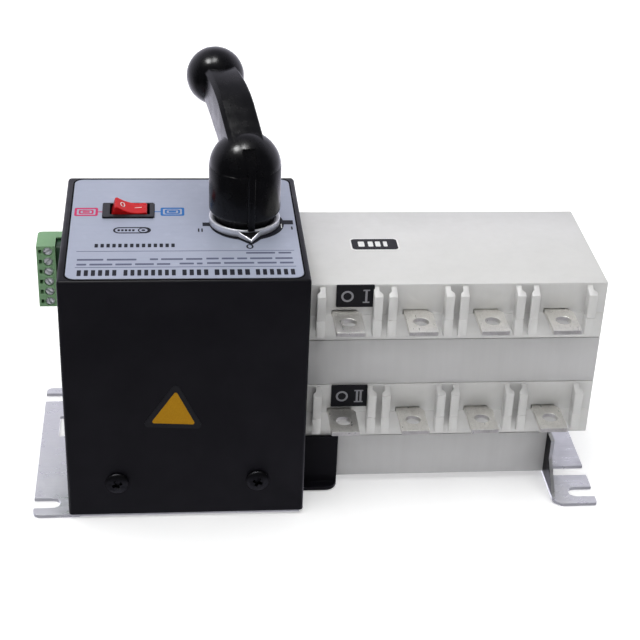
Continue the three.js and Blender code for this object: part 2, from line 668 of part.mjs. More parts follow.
// Upright rib beside a terminal. straight is the x of its flat side and lip (+1 or -1) the side
// on which it widens towards the front; face is -1 for the front wall and +1 for the rear wall.
function rib(straight, lip, face, z0, z1, sloped) {
  const wallY = face < 0 ? UNIT.y0 : UNIT.y1;
  const outline = [
    [0, -0.6],
    [RIB.thin, -0.6],
    [RIB.thin, 2.2],
    [RIB.lip, 3.4],
    [RIB.lip, RIB.depth],
    [0, RIB.depth],
  ];
  const points = outline.map(([across, out]) => [straight + lip * across, wallY + face * out]);
  const geometry = extrudeZ(polygon(points), z0, z1);
  if (sloped) {
    const position = geometry.attributes.position;
    for (let i = 0; i < position.count; i += 1) {
      if (position.getZ(i) > z1 - 0.01) {
        const out = Math.max(0, (position.getY(i) - wallY) * face);
        position.setZ(i, z1 - RIB.slope * out / RIB.depth);
      }
    }
  }
  return geometry;
}

function allRibs(z0, z1, sloped) {
  const ribs = [];
  for (const face of [-1, 1]) {
    ribs.push(rib(RIB_END_X[0], -1, face, z0, z1, sloped));
    ribs.push(rib(RIB_END_X[1], 1, face, z0, z1, sloped));
    for (let pair = 0; pair < POLES - 1; pair += 1) {
      const middle = RIB_PAIR_X + pair * POLE_PITCH;
      ribs.push(rib(middle - RIB.straightSide, 1, face, z0, z1, sloped));
      ribs.push(rib(middle + RIB.straightSide, -1, face, z0, z1, sloped));
    }
  }
  return ribs;
}

function poleX(pole) {
  return FIRST_POLE_X + pole * POLE_PITCH;
}

// Chambers of the four poles, cut out of a housing block between z0 and z1.
function chambers(z0, z1) {
  const cells = [];
  const half = UNIT.partition / 2;
  const walls = [];
  for (let pole = 0; pole < POLES - 1; pole += 1) {
    walls.push(poleX(pole) + POLE_PITCH / 2);
  }
  const starts = [UNIT.x0 + UNIT.end, ...walls.map((x) => x + half)];
  const ends = [...walls.map((x) => x - half), 111];
  for (let pole = 0; pole < POLES; pole += 1) {
    cells.push(box(starts[pole], ends[pole], UNIT.y0 + UNIT.wall, UNIT.y1 - UNIT.wall, z0, z1));
  }
  return cells;
}

function shaftBore(z) {
  return rodX(SHAFT.radius + GAP, UNIT.x0 - 1, SHAFT.x1 + GAP, SHAFT.y, z, 16);
}

// The functions below build the upper unit; drop moves the same pieces down to the lower unit.

function unitLid(drop) {
  const z0 = SPLIT_Z + HALF_GAP - drop;
  const z1 = UNIT_TOP - drop - (drop ? HALF_GAP : 0);
  const block = box(UNIT.x0, UNIT.x1, UNIT.y0, UNIT.y1, z0, z1);
  const ribs = allRibs(z0, z1 - 0.9 + (drop ? HALF_GAP : 0), true);
  const notches = [];
  const left = TAB.width / 2 + GAP;
  const right = TAB.width / 2 - TAB.shoulder + GAP;
  const notchTop = SPLIT_Z + TAB.thickness + GAP - drop;
  for (let pole = 0; pole < POLES; pole += 1) {
    notches.push(box(poleX(pole) - left, poleX(pole) + right, -1, 4, z0 - 1, notchTop));
  }
  return cut(join(block, ...ribs), ...chambers(z0 - 1, z1 - 2), ...notches, shaftBore(SHAFT.z - drop));
}

function unitTray(drop) {
  const z0 = TRAY_BOTTOM_Z + HALF_GAP - drop;
  const z1 = SPLIT_Z - HALF_GAP - drop;
  const block = box(UNIT.x0, UNIT.x1, UNIT.y0, UNIT.y1, z0, z1);
  const ribs = allRibs(TRAY_BOTTOM_Z + RIB.bottomRise - drop, z1, false);
  const notches = [];
  const reach = TAB.width / 2 + GAP;
  const notchBottom = SPLIT_Z - LOAD_DROP - GAP - drop;
  for (let pole = 0; pole < POLES; pole += 1) {
    const x = poleX(pole);
    notches.push(box(x - reach, x + reach, UNIT.y1 - 4, UNIT.y1 + 1, notchBottom, z1 + 1));
  }
  return cut(join(block, ...ribs), ...chambers(z0 - 1, z1 + 1), ...notches, shaftBore(SHAFT.z - drop));
}

function upperUnitBase() {
  const z0 = BASE_BOTTOM_Z + HALF_GAP;
  const z1 = TRAY_BOTTOM_Z - HALF_GAP;
  const block = box(UNIT.x0, UNIT.x1, UNIT.y0, UNIT.y1, z0, z1);
  return cut(block, ...chambers(z0 + 2, z1 + 1));
}

function lowerUnitBase() {
  const z0 = LOWER_BASE.z0;
  const z1 = TRAY_BOTTOM_Z - HALF_GAP - UNIT_PITCH;
  const x0 = UNIT.x0 + SHEET + GAP;
  const block = box(x0, LOWER_BASE.x1, UNIT.y0, UNIT.y1, z0, z1);
  const limit = box(x0 + 2.5, LOWER_BASE.x1 - 2.5, UNIT.y0 + UNIT.wall, UNIT.y1 - UNIT.wall, z0 + 2, z1 + 1);
  const walls = [];
  for (let pole = 0; pole < POLES - 1; pole += 1) {
    const x = poleX(pole) + POLE_PITCH / 2;
    walls.push(box(x - UNIT.partition / 2, x + UNIT.partition / 2, UNIT.y0 + 1, UNIT.y1 - 1, z0 + 1, z1));
  }
  return join(cut(block, limit), ...walls);
}

add('upper_unit_lid', unitLid(0), creamPlastic);
add('upper_unit_tray', unitTray(0), creamPlastic);
add('upper_unit_base', upperUnitBase(), greyPlastic);
add('lower_unit_lid', unitLid(UNIT_PITCH), creamPlastic);
add('lower_unit_tray', unitTray(UNIT_PITCH), creamPlastic);
add('lower_unit_base', lowerUnitBase(), greyPlastic);

// ---------------------------------------------------------------- terminals

// Flat tinned bar: a drilled tab outside, and the fixed contact inside the pole chamber.
function sourceTerminal(pole, drop) {
  const x = poleX(pole);
  const half = TAB.width / 2;
  const outline = [
    [x - half, -TAB.reach],
    [x + half, -TAB.reach],
    [x + half, -2.6],
    [x + half - TAB.shoulder, -0.3],
    [x + half - TAB.shoulder, TAB.inner],
    [x - half, TAB.inner],
  ];
  const bar = extrudeZ(polygon(outline), SPLIT_Z - drop, SPLIT_Z + TAB.thickness - drop);
  return cut(bar, rodZ(TAB.hole, SPLIT_Z - 1 - drop, SPLIT_Z + 4 - drop, x, TAB.holeInset - TAB.reach, 14));
}

// Load bar of one pole: two drilled rear tabs and their inner contacts, joined by an upright.
function loadBar(pole) {
  const x = poleX(pole);
  const half = TAB.width / 2;
  const innerY = 2 * SHAFT.y - TAB.inner;
  const outerY = UNIT.y1 + TAB.reach;
  const top = SPLIT_Z - LOAD_DROP;
  const bars = [0, UNIT_PITCH].map((drop) => {
    return box(x - half, x + half, innerY, outerY, top - drop, top + TAB.thickness - drop);
  });
  const upright = box(
    x - half, x + half, BRIDGE_Y, BRIDGE_Y + TAB.thickness, top - UNIT_PITCH, top + TAB.thickness,
  );
  const holes = [0, UNIT_PITCH].map((drop) => {
    return rodZ(TAB.hole, top - 1 - drop, top + 4 - drop, x, outerY - LOAD_HOLE_INSET, 14);
  });
  return cut(join(...bars, upright), ...holes);
}

for (let pole = 0; pole < POLES; pole += 1) {
  add(`upper_source_terminal_${pole + 1}`, sourceTerminal(pole, 0), tinnedCopper);
}
for (let pole = 0; pole < POLES; pole += 1) {
  add(`lower_source_terminal_${pole + 1}`, sourceTerminal(pole, UNIT_PITCH), tinnedCopper);
}
for (let pole = 0; pole < POLES; pole += 1) {
  add(`load_bar_${pole + 1}`, loadBar(pole), tinnedCopper);
}

// ---------------------------------------------------------------- contact shafts and blades

// Insulating shaft through all four poles, slotted for its blades, with the crank at its left
// end. towards is -1 where the crank hangs down to the slide and +1 where it stands up to it.
function contactShaft(z, towards) {
  const rod = rodX(SHAFT.radius, SHAFT.x0, SHAFT.x1, SHAFT.y, z, 16);
  const armX0 = -17.5;
  const armX1 = -14.5;
  const pinZ = z + towards * SHAFT_CRANK;
  const arm = box(armX0, armX1, SHAFT.y - 3, SHAFT.y + 3, Math.min(z, pinZ), Math.max(z, pinZ));
  const boss = rodX(3, armX0, armX1, SHAFT.y, pinZ, 12);
  const pin = rodX(2, armX1 - 1, -10.2, SHAFT.y, pinZ, 12);
  const slots = [];
  for (let pole = 0; pole < POLES; pole += 1) {
    const slot = bladeBlank(BLADE.width + 2 * GAP, BLADE.thickness + 2 * GAP);
    slots.push(slot.translate(poleX(pole), SHAFT.y, z));
  }
  return cut(join(rod, arm, boss, pin), ...slots);
}

// Blade at rest, tilted with its front end down, clear of both fixed contacts.
function bladeBlank(width, thickness) {
  const blank = new THREE.BoxGeometry(width, 2 * BLADE.half, thickness);
  return blank.rotateX(BLADE.tilt);
}

for (const [row, z, towards] of [['upper', SHAFT_HEIGHTS.upper, -1], ['lower', SHAFT_HEIGHTS.lower, 1]]) {
  add(`${row}_contact_shaft`, contactShaft(z, towards), blackPlastic);
  for (let pole = 0; pole < POLES; pole += 1) {
    const blade = bladeBlank(BLADE.width, BLADE.thickness).translate(poleX(pole), SHAFT.y, z);
    add(`${row}_contact_blade_${pole + 1}`, blade, copper);
  }
}

// ---------------------------------------------------------------- hand lever

function handleSocket() {
  const { neck, skirt, z0, neckTop, collar, split } = HANDLE;
  const profile = [
    [0, z0],
    [neck, z0],
    [neck, neckTop],
    [skirt, collar],
    [skirt, split],
    [0, split],
  ];
  const body = turned(profile, SPINDLE.x, SPINDLE.y, 28);
  const half = SPINDLE.square / 2 + GAP;
  const bore = box(
    SPINDLE.x - half, SPINDLE.x + half, SPINDLE.y - half, SPINDLE.y + half, z0 - 1, SPINDLE.z1 + GAP,
  );
  const shoulderRelief = rodZ(SPINDLE.radius + GAP, z0 - 1, SPINDLE.shoulder + GAP, SPINDLE.x, SPINDLE.y);
  return cut(body, bore, shoulderRelief);
}

// Domed cap and curved arm in one moulding; the arm rises from the dome towards the knob.
function handleLever() {
  const r = HANDLE.skirt;
  const z0 = HANDLE.split + GAP;
  const start = Math.asin((z0 - HANDLE.domeCentre) / r);
  const dome = [[0, z0]];
  const steps = 6;
  for (let step = 0; step < steps; step += 1) {
    const angle = start + step / steps * (Math.PI / 2 - start);
    dome.push([r * Math.cos(angle), HANDLE.domeCentre + r * Math.sin(angle)]);
  }
  dome.push([0, HANDLE.domeCentre + r]);
  // side view of the arm: distance from the spindle axis, height
  const profile = [
    [-4, 143],
    [13, 145.7],
    [22, 149.2],
    [33, 153.6],
    [44, 157.2],
    [46, 166.9],
    [33, 166.9],
    [22, 165.8],
    [17, 164.6],
    [13, 163],
    [9, 160.8],
    [4, 157.8],
    [0, 154.8],
    [-4, 152.6],
  ];
  const armWidth = 13.6;
  const bearing = Math.atan2(KNOB.y - SPINDLE.y, KNOB.x - SPINDLE.x);
  const arm = extrudeY(polygon(profile), -armWidth / 2, armWidth / 2);
  arm.rotateZ(bearing).translate(SPINDLE.x, SPINDLE.y, 0);
  const seat = new THREE.SphereGeometry(KNOB.radius + GAP, 20, 14).translate(KNOB.x, KNOB.y, KNOB.z);
  return cut(join(turned(dome, SPINDLE.x, SPINDLE.y, 28), arm), seat);
}

function handleKnob() {
  return new THREE.SphereGeometry(KNOB.radius, 20, 14).translate(KNOB.x, KNOB.y, KNOB.z);
}

add('handle_socket', handleSocket(), blackPlastic);
add('handle_lever', handleLever(), blackPlastic);
add('handle_knob', weld(handleKnob()), blackPlastic);

export default transferSwitch;
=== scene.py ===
import math

import bmesh
import bpy
from mathutils import Matrix, Vector


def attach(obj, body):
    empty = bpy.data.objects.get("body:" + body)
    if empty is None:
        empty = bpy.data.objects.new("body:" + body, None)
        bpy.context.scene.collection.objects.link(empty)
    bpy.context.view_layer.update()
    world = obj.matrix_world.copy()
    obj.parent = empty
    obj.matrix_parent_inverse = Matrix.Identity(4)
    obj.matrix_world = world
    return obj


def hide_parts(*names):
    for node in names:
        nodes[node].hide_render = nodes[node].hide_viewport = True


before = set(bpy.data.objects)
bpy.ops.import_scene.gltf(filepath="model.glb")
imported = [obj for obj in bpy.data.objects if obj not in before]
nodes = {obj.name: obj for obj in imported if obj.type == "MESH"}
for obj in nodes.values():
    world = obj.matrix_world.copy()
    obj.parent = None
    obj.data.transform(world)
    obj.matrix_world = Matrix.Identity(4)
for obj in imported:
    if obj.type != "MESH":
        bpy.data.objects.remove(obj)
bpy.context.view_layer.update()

# Lengths below are millimetres. X and Z are the CAD's own; Y is counted from the front wall
# of the switch units, as in the CAD source, and is shifted by CENTRE_Y when a mesh is made.
MM = 0.001
CENTRE_Y = 31.4
SHEET = 1.5

COVER = {"x0": -107.4, "x1": -7.6, "y0": -22.9, "y1": 74.3, "z0": 1.8, "z1": 113.9}
COVER_WALL = 1.2
LABEL_BASE = 114.0
LABEL_TOP = 114.3
SMALL_PRINT = 1.4                      # height of a line of small print
SPINDLE = (-31.9, 28.0)
DIAL = (-31.0, 27.8)                   # centre of the printed dial on the label
ROCKER = (-80.3, 39.8)
ROCKER_CENTRE_Z = 112.0
ROCKER_TILT = math.radians(12)
KNOB = Vector((-42.8, 73.5, 162.0))
KNOB_RADIUS = 12.25
SPINDLE_HOLE = 10.3                    # radius
POLE_X = [9.7 + 30 * pole for pole in range(4)]
UNIT_PITCH = 48.3
SHAFT = (34.6, 83.8)                   # Y and Z of the upper contact shaft
FOOT_Y0 = -22.1
FOOT_Y1 = 80.0
HALF_LENGTH = 122.76
SLOT_Y = (-13.55, 71.45)
SLOT_WIDTH = 7.0
SLOT_DEPTH = 11.3
SPARE_SLOT_Y = (2.95, 54.95)


# ---- materials

MATERIALS = {}


def put(tree, socket, value):
    """Sets a socket to a value, or links it from another socket."""
    if isinstance(value, bpy.types.NodeSocket):
        tree.links.new(value, socket)
    else:
        socket.default_value = value


def add_node(tree, kind, inputs=None, **settings):
    node = tree.nodes.new(kind)
    for key, value in settings.items():
        setattr(node, key, value)
    for key, value in (inputs or {}).items():
        put(tree, node.inputs[key], value)
    return node


class Nodes:
    """A new material, listed in MATERIALS, and the shader nodes added to it."""

    def __init__(self, name):
        MATERIALS[name] = bpy.data.materials.new(name)
        MATERIALS[name].use_nodes = True
        self.tree = MATERIALS[name].node_tree
        self.shader = self.tree.nodes["Principled BSDF"]
        self.where = self.add("ShaderNodeTexCoord").outputs["Object"]

    def add(self, kind, inputs=None, **settings):
        return add_node(self.tree, kind, inputs, **settings)

    def noise(self, size, detail=2.0, stretch=(1, 1, 1), seed=0.0):
        """Noise from 0 to 1 whose features are about size millimetres across."""
        mapping = self.add("ShaderNodeMapping", {"Vector": self.where, "Scale": stretch,
                                                 "Location": (seed, 0.37 * seed, 0.71 * seed)})
        texture = self.add("ShaderNodeTexNoise", {"Vector": mapping.outputs[0], "Scale": 1 / (size * MM),
                                                  "Detail": detail, "Roughness": 0.55})
        return texture.outputs["Fac"]

    def cells(self, size):
        texture = self.add("ShaderNodeTexVoronoi", {"Vector": self.where, "Scale": 1 / (size * MM)})
        return texture.outputs["Distance"]

    def remap(self, value, low, high, to_low=0.0, to_high=1.0):
        node = self.add("ShaderNodeMapRange", {"Value": value, "From Min": low, "From Max": high,
                                               "To Min": to_low, "To Max": to_high})
        return node.outputs["Result"]

    def mix(self, factor, a, b):
        node = self.add("ShaderNodeMix", data_type="RGBA", blend_type="MIX")
        sockets = [node.inputs[0]] + [s for s in node.inputs if s.type == "RGBA"]
        for socket, value in zip(sockets, (factor, a, b)):
            put(self.tree, socket, value)
        return next(s for s in node.outputs if s.type == "RGBA")

    def maths(self, operation, a, b):
        return self.add("ShaderNodeMath", {0: a, 1: b}, operation=operation).outputs[0]

    def times(self, a, b):
        return self.maths("MULTIPLY", a, b)

    def edges(self, radius):
        """1 on outer edges within about radius millimetres, 0 on flat faces."""
        bevel = self.add("ShaderNodeBevel", {"Radius": radius * MM}, samples=4)
        normal = self.add("ShaderNodeNewGeometry").outputs["Normal"]
        dot = self.add("ShaderNodeVectorMath", {0: bevel.outputs[0], 1: normal}, operation="DOT_PRODUCT")
        return self.remap(dot.outputs["Value"], 0.995, 0.88)

    def bump(self, *layers):
        """Layers are (height, strength, distance in millimetres)."""
        normal = None
        for height, strength, distance in layers:
            node = self.add("ShaderNodeBump", {"Height": height, "Strength": strength,
                                               "Distance": distance * MM})
            if normal is not None:
                put(self.tree, node.inputs["Normal"], normal)
            normal = node.outputs[0]
        put(self.tree, self.shader.inputs["Normal"], normal)

    def set(self, **values):
        names = {"colour": "Base Color", "metallic": "Metallic", "roughness": "Roughness",
                 "specular": "Specular IOR Level", "subsurface": "Subsurface Weight"}
        for key, value in values.items():
            put(self.tree, self.shader.inputs[names[key]], value)


def rgb(r, g, b):
    """Linear colour from 0-255 display values."""
    def linear(c):
        c /= 255
        return c / 12.92 if c <= 0.04045 else ((c + 0.055) / 1.055) ** 2.4
    return (linear(r), linear(g), linear(b), 1.0)


def shade(colour, factor, lift=0.0):
    """The colour made darker or paler, kept at 1 or less."""
    return tuple(min(1.0, c * factor + lift) for c in colour[:3]) + (1.0,)


def painted(name, colour, lighter):
    """Baked powder paint: fine orange peel, faint cloudiness, edges painted paler as a highlight, patchy like
    rubbed wear.
    """
    n = Nodes(name)
    cloud = n.remap(n.noise(22, 3), 0.35, 0.65)
    grain = n.noise(0.35, 2)
    base = n.mix(cloud, colour, lighter)
    # painted highlight: edges made paler toward light grey, broken up in patches like rubbed wear
    rub_and_highlight = n.times(n.edges(0.5), n.remap(n.noise(3, 3, seed=2), 0.35, 0.65, 0.25, 0.8))
    base = n.mix(n.times(rub_and_highlight, 0.16), base, rgb(96, 96, 102))
    rough = n.remap(n.noise(9, 3, seed=1), 0.3, 0.7, 0.36, 0.48)
    n.set(colour=base, roughness=rough, specular=0.09)
    n.bump((n.noise(1.6, 1, seed=3), 0.12, 0.1), (grain, 0.25, 0.04))


def moulded(name, colour, other, roughness=0.42, grain=0.12, specular=0.4, streaks=0.0,
            subsurface=0.0, edge=0.25, wave=0.04):
    """Moulded plastic: slow shade drift, spark-eroded grain, flow streaks, edges painted paler as a
    highlight.
    """
    n = Nodes(name)
    drift = n.remap(n.noise(30, 2), 0.35, 0.65)
    base = n.mix(drift, colour, other)
    flow = n.noise(3.2, 3, stretch=(1, 1, 0.06), seed=4)
    cloud = n.remap(n.noise(6, 3, seed=8), 0.5, 0.75)
    darker = shade(colour, 0.82)
    base = n.mix(n.times(n.remap(flow, 0.4, 0.7), streaks), base, darker)
    base = n.mix(n.times(cloud, 0.08), base, darker)
    # painted highlight: edges made paler in colour
    lighter = shade(colour, 1.25, 0.01)
    base = n.mix(n.times(n.edges(0.35), edge), base, lighter)
    rough = n.remap(n.noise(5, 3, seed=6), 0.3, 0.7, roughness - 0.07, roughness + 0.07)
    n.set(colour=base, roughness=rough, specular=specular)
    if subsurface:
        n.set(subsurface=subsurface)
        n.shader.inputs["Subsurface Radius"].default_value = (0.002, 0.0018, 0.0015)
    n.bump((n.noise(7, 1, seed=9), wave, 0.3), (n.noise(0.5, 1), grain, 0.03))


def metal(name, colour, stained, roughness=0.3, streak=(1, 1, 1), smudges=0.5, metallic=1.0, pits=0.0):
    """Bare or plated metal: rolling lines along one axis, finger smudges, pits, edges painted brighter as a
    highlight.
    """
    n = Nodes(name)
    lines = n.noise(1.5, 4, stretch=streak, seed=1)
    smudge = n.remap(n.noise(5, 5, seed=3), 0.42, 0.62)
    base = n.mix(n.times(smudge, smudges), colour, stained)
    base = n.mix(n.remap(lines, 0.35, 0.65, 0, 0.35), base, stained)
    if pits:
        spots = n.remap(n.noise(0.5, 3, seed=7), 0.58, 0.7)
        base = n.mix(n.times(spots, pits), base, shade(stained, 0.35))
    # painted highlight: edges made brighter in colour
    bright = shade(colour, 1.3)
    base = n.mix(n.times(n.edges(0.3), 0.5), base, bright)
    rough = n.maths("ADD", n.remap(lines, 0.3, 0.7, roughness - 0.08, roughness + 0.08),
                    n.times(smudge, 0.12))
    n.set(colour=base, roughness=rough, metallic=metallic)
    n.bump((n.noise(3.5, 2, seed=5), 0.1, 0.1), (lines, 0.18, 0.02))


def printed(name, colour, roughness=0.55):
    """Screen-printed ink: slightly uneven cover and a fine mesh of the screen."""
    n = Nodes(name)
    thin = shade(colour, 1.3, 0.004)
    patch = n.remap(n.noise(0.8, 3), 0.4, 0.7)
    n.set(colour=n.mix(n.times(patch, 0.4), colour, thin),
          roughness=n.remap(n.noise(0.3, 1, seed=2), 0.3, 0.7, roughness - 0.05, roughness + 0.1),
          specular=0.1)
    n.bump((n.cells(0.12), 0.15, 0.01))


def film(name, colour, other):
    """Silver-blue label film: brushed look along X, slow tone drift, dull scuffs."""
    n = Nodes(name)
    brushed = n.noise(0.5, 3, stretch=(0.05, 1, 1))
    drift = n.remap(n.noise(45, 1, seed=2), 0.35, 0.65)
    base = n.mix(drift, colour, other)
    base = n.mix(n.remap(brushed, 0.3, 0.7, 0.0, 0.16), base, shade(colour, 0.8))
    scuff = n.remap(n.noise(8, 5, seed=6), 0.6, 0.72)
    base = n.mix(n.times(scuff, 0.15), base, rgb(190, 195, 212))
    n.set(colour=base, metallic=0.15, specular=0.4,
          roughness=n.remap(n.noise(4, 4, seed=4), 0.3, 0.7, 0.36, 0.5))
    n.bump((n.noise(14, 1, seed=3), 0.05, 0.3), (brushed, 0.08, 0.01))


metal("zinc_plated_steel", (0.71, 0.715, 0.725, 1), (0.645, 0.65, 0.665, 1),
      roughness=0.3, streak=(0.12, 1, 1), smudges=0.3, metallic=0.85)
painted("black_paint", (0.0063, 0.0060, 0.0085, 1), (0.008, 0.0076, 0.0105, 1))
metal("black_screw", (0.055, 0.055, 0.06, 1), (0.02, 0.02, 0.022, 1),
      roughness=0.4, smudges=0.6)
film("label_film", (0.335, 0.365, 0.46, 1), (0.36, 0.39, 0.483, 1))
moulded("black_plastic", (0.008, 0.008, 0.0095, 1), (0.011, 0.011, 0.013, 1),
        roughness=0.4, specular=0.2)
moulded("handle_plastic", (0.0035, 0.0035, 0.0042, 1), (0.0045, 0.0045, 0.0055, 1),
        roughness=0.24, grain=0.015, specular=0.2, edge=0.05, wave=0.012)
moulded("red_plastic", (0.44, 0.005, 0.007, 1), (0.50, 0.008, 0.010, 1),
        roughness=0.32, grain=0.03, specular=0.08, subsurface=0.03)
metal("machined_steel", (0.42, 0.42, 0.44, 1), (0.28, 0.28, 0.3, 1),
      streak=(1, 1, 0.08))
metal("gear_brass", (0.55, 0.4, 0.16, 1), (0.38, 0.27, 0.11, 1))
metal("bright_plate", (0.84, 0.85, 0.89, 1), (0.68, 0.70, 0.76, 1),
      roughness=0.34, smudges=0.2, metallic=0.4)
moulded("board_laminate", (0.02, 0.11, 0.05, 1), (0.03, 0.14, 0.07, 1),
        roughness=0.35, grain=0.1)
moulded("dark_green_plastic", (0.012, 0.045, 0.02, 1), (0.02, 0.06, 0.028, 1),
        roughness=0.4)
moulded("green_plastic", (0.185, 0.355, 0.175, 1), (0.205, 0.385, 0.20, 1),
        roughness=0.42, grain=0.15, subsurface=0.05)
moulded("cream_plastic", (0.615, 0.612, 0.602, 1), (0.645, 0.642, 0.634, 1),
        roughness=0.4, streaks=0.1, subsurface=0.05, specular=0.3)
moulded("grey_plastic", (0.53, 0.527, 0.53, 1), (0.555, 0.552, 0.558, 1),
        roughness=0.36, streaks=0.16, subsurface=0.03, specular=0.3)
metal("tinned_copper", (0.85, 0.835, 0.80, 1), (0.62, 0.61, 0.575, 1),
      roughness=0.32, streak=(1, 0.12, 1), smudges=0.5, pits=0.35, metallic=0.85)
metal("copper", (0.65, 0.3, 0.18, 1), (0.4, 0.18, 0.1, 1))

printed("ink_dark", (0.012, 0.013, 0.02, 1))
printed("ink_rule", (0.10, 0.11, 0.17, 1))
printed("ink_matt", (0.003, 0.003, 0.004, 1), roughness=0.9)
printed("ink_pink", (0.50, 0.03, 0.115, 1))
printed("ink_blue", (0.02, 0.135, 0.40, 1))
printed("ink_white", (0.72, 0.72, 0.72, 1))
printed("ink_grey", (0.25, 0.25, 0.27, 1))
printed("ink_yellow", (0.335, 0.165, 0.002, 1))
printed("ink_sticker", (0.012, 0.012, 0.015, 1), roughness=0.35)


# ---- mesh helpers

def finished(name, bm, material, place=None):
    """Turns a bmesh in millimetres, moved by place, into an object in the CAD's frame, in metres."""
    if place:
        bmesh.ops.transform(bm, matrix=place, verts=bm.verts)
    bmesh.ops.remove_doubles(bm, verts=bm.verts, dist=1e-4)
    bmesh.ops.recalc_face_normals(bm, faces=bm.faces)
    bmesh.ops.transform(bm, matrix=Matrix.Scale(MM, 4) @ Matrix.Translation((0, -CENTRE_Y, 0)),
                        verts=bm.verts)
    mesh = bpy.data.meshes.new(name)
    bm.to_mesh(mesh)
    bm.free()
    mesh.materials.append(MATERIALS[material])
    obj = bpy.data.objects.new(name, mesh)
    bpy.context.scene.collection.objects.link(obj)
    round_off(obj)
    return obj


def round_off(obj, smooth=35):
    obj.data.shade_smooth()
    obj.data.set_sharp_from_angle(angle=math.radians(smooth))


def applied(obj):
    """Applies every modifier on the object."""
    graph = bpy.context.evaluated_depsgraph_get()
    mesh = bpy.data.meshes.new_from_object(obj.evaluated_get(graph))
    obj.modifiers.clear()
    old = obj.data
    obj.data = mesh
    bpy.data.meshes.remove(old)
    mesh.name = obj.name
    return obj


def weigh_edges(mesh, angle, where):
    """Marks for rounding the sharp edges whose midpoint, in millimetres, passes the test."""
    bm = bmesh.new()
    bm.from_mesh(mesh)
    layer = bm.edges.layers.float.new("bevel_weight_edge")
    for edge in bm.edges:
        if edge.calc_face_angle(0) > math.radians(angle):
            middle = (edge.verts[0].co + edge.verts[1].co) / (2 * MM) + Vector((0, CENTRE_Y, 0))
            edge[layer] = float(where(middle))
    bm.to_mesh(mesh)
    bm.free()


def bevelled(obj, width, segments=3, angle=30, where=None, harden=True):
    modifier = obj.modifiers.new("bevel", "BEVEL")
    modifier.width = width * MM
    modifier.segments = segments
    modifier.limit_method = "ANGLE"
    modifier.angle_limit = math.radians(angle)
    modifier.harden_normals = harden
    modifier.use_clamp_overlap = True
    if where:
        weigh_edges(obj.data, angle, where)
        modifier.limit_method = "WEIGHT"
    return applied(obj)


def boolean(obj, others, operation="DIFFERENCE"):
    for other in others:
        modifier = obj.modifiers.new("cut", "BOOLEAN")
        modifier.operation = operation
        modifier.object = other
        modifier.solver = "EXACT"
    applied(obj)
    for other in others:
        bpy.data.objects.remove(other)
    return obj


def corner_rounded(corners, steps=8):
    """Outline through corners (a, b) or (a, b, radius), with arcs on the rounded ones."""
    outline = []
    for i, corner in enumerate(corners):
        here = Vector(corner[:2])
        radius = corner[2] if len(corner) > 2 else 0
        if not radius:
            outline.append(tuple(here))
            continue
        before = (Vector(corners[i - 1][:2]) - here).normalized()
        after = (Vector(corners[(i + 1) % len(corners)][:2]) - here).normalized()
        half = before.angle(after) / 2
        centre = here + (before + after).normalized() * radius / math.sin(half)
        start = here + before * radius / math.tan(half) - centre
        end = here + after * radius / math.tan(half) - centre
        first = math.atan2(start.y, start.x)
        sweep = (math.atan2(end.y, end.x) - first + math.pi) % (2 * math.pi) - math.pi
        for k in range(steps + 1):
            turn = first + sweep * k / steps
            outline.append((centre.x + radius * math.cos(turn), centre.y + radius * math.sin(turn)))
    return outline


def rectangle(a0, a1, b0, b1, radius=0.0, steps=8):
    return corner_rounded([(a0, b0, radius), (a1, b0, radius), (a1, b1, radius), (a0, b1, radius)], steps)


def circle(a, b, radius, steps=48):
    return [(a + radius * math.cos(2 * math.pi * k / steps), b + radius * math.sin(2 * math.pi * k / steps))
            for k in range(steps)]


AXIS_ORDER = {"z": lambda a, b, c: (a, b, c), "y": lambda a, b, c: (a, c, b), "x": lambda a, b, c: (c, a, b)}


def add_prism(bm, outline, low, high, axis="z"):
    """Closed prism; the outline is in (X, Y), (X, Z) or (Y, Z) for axis z, y or x."""
    point = AXIS_ORDER[axis]
    bottom = [bm.verts.new(point(a, b, low)) for a, b in outline]
    top = [bm.verts.new(point(a, b, high)) for a, b in outline]
    bm.faces.new(bottom[::-1])
    bm.faces.new(top)
    for i in range(len(outline)):
        j = (i + 1) % len(outline)
        bm.faces.new((bottom[i], bottom[j], top[j], top[i]))


def prism(name, outline, low, high, axis="z", material="black_plastic"):
    bm = bmesh.new()
    add_prism(bm, outline, low, high, axis)
    return finished(name, bm, material)


def block(name, x0, x1, y0, y1, z0, z1, material="black_plastic"):
    return prism(name, rectangle(x0, x1, y0, y1), z0, z1, "z", material)


def add_lathe(bm, profile, x, y, steps):
    """Turned body round a vertical axis; the profile is (radius, z) from bottom to top."""
    rings = []
    for radius, z in profile:
        if radius < 1e-6:
            rings.append([bm.verts.new((x, y, z))])
        else:
            rings.append([bm.verts.new((x + radius * math.cos(2 * math.pi * k / steps),
                                        y + radius * math.sin(2 * math.pi * k / steps), z))
                          for k in range(steps)])
    for low, high in zip(rings, rings[1:]):
        for k in range(steps):
            j = (k + 1) % steps
            if len(low) == 1 and len(high) == 1:
                continue
            if len(low) == 1:
                bm.faces.new((low[0], high[j], high[k]))
            elif len(high) == 1:
                bm.faces.new((low[k], low[j], high[0]))
            else:
                bm.faces.new((low[k], low[j], high[j], high[k]))


def lathe(name, profile, x, y, material):
    bm = bmesh.new()
    add_lathe(bm, profile, x, y, 96)
    return finished(name, bm, material)


def arc(centre, radius, start, end, steps=8):
    return [(centre[0] + radius * math.cos(math.radians(start + (end - start) * k / steps)),
             centre[1] + radius * math.sin(math.radians(start + (end - start) * k / steps)))
            for k in range(steps + 1)]


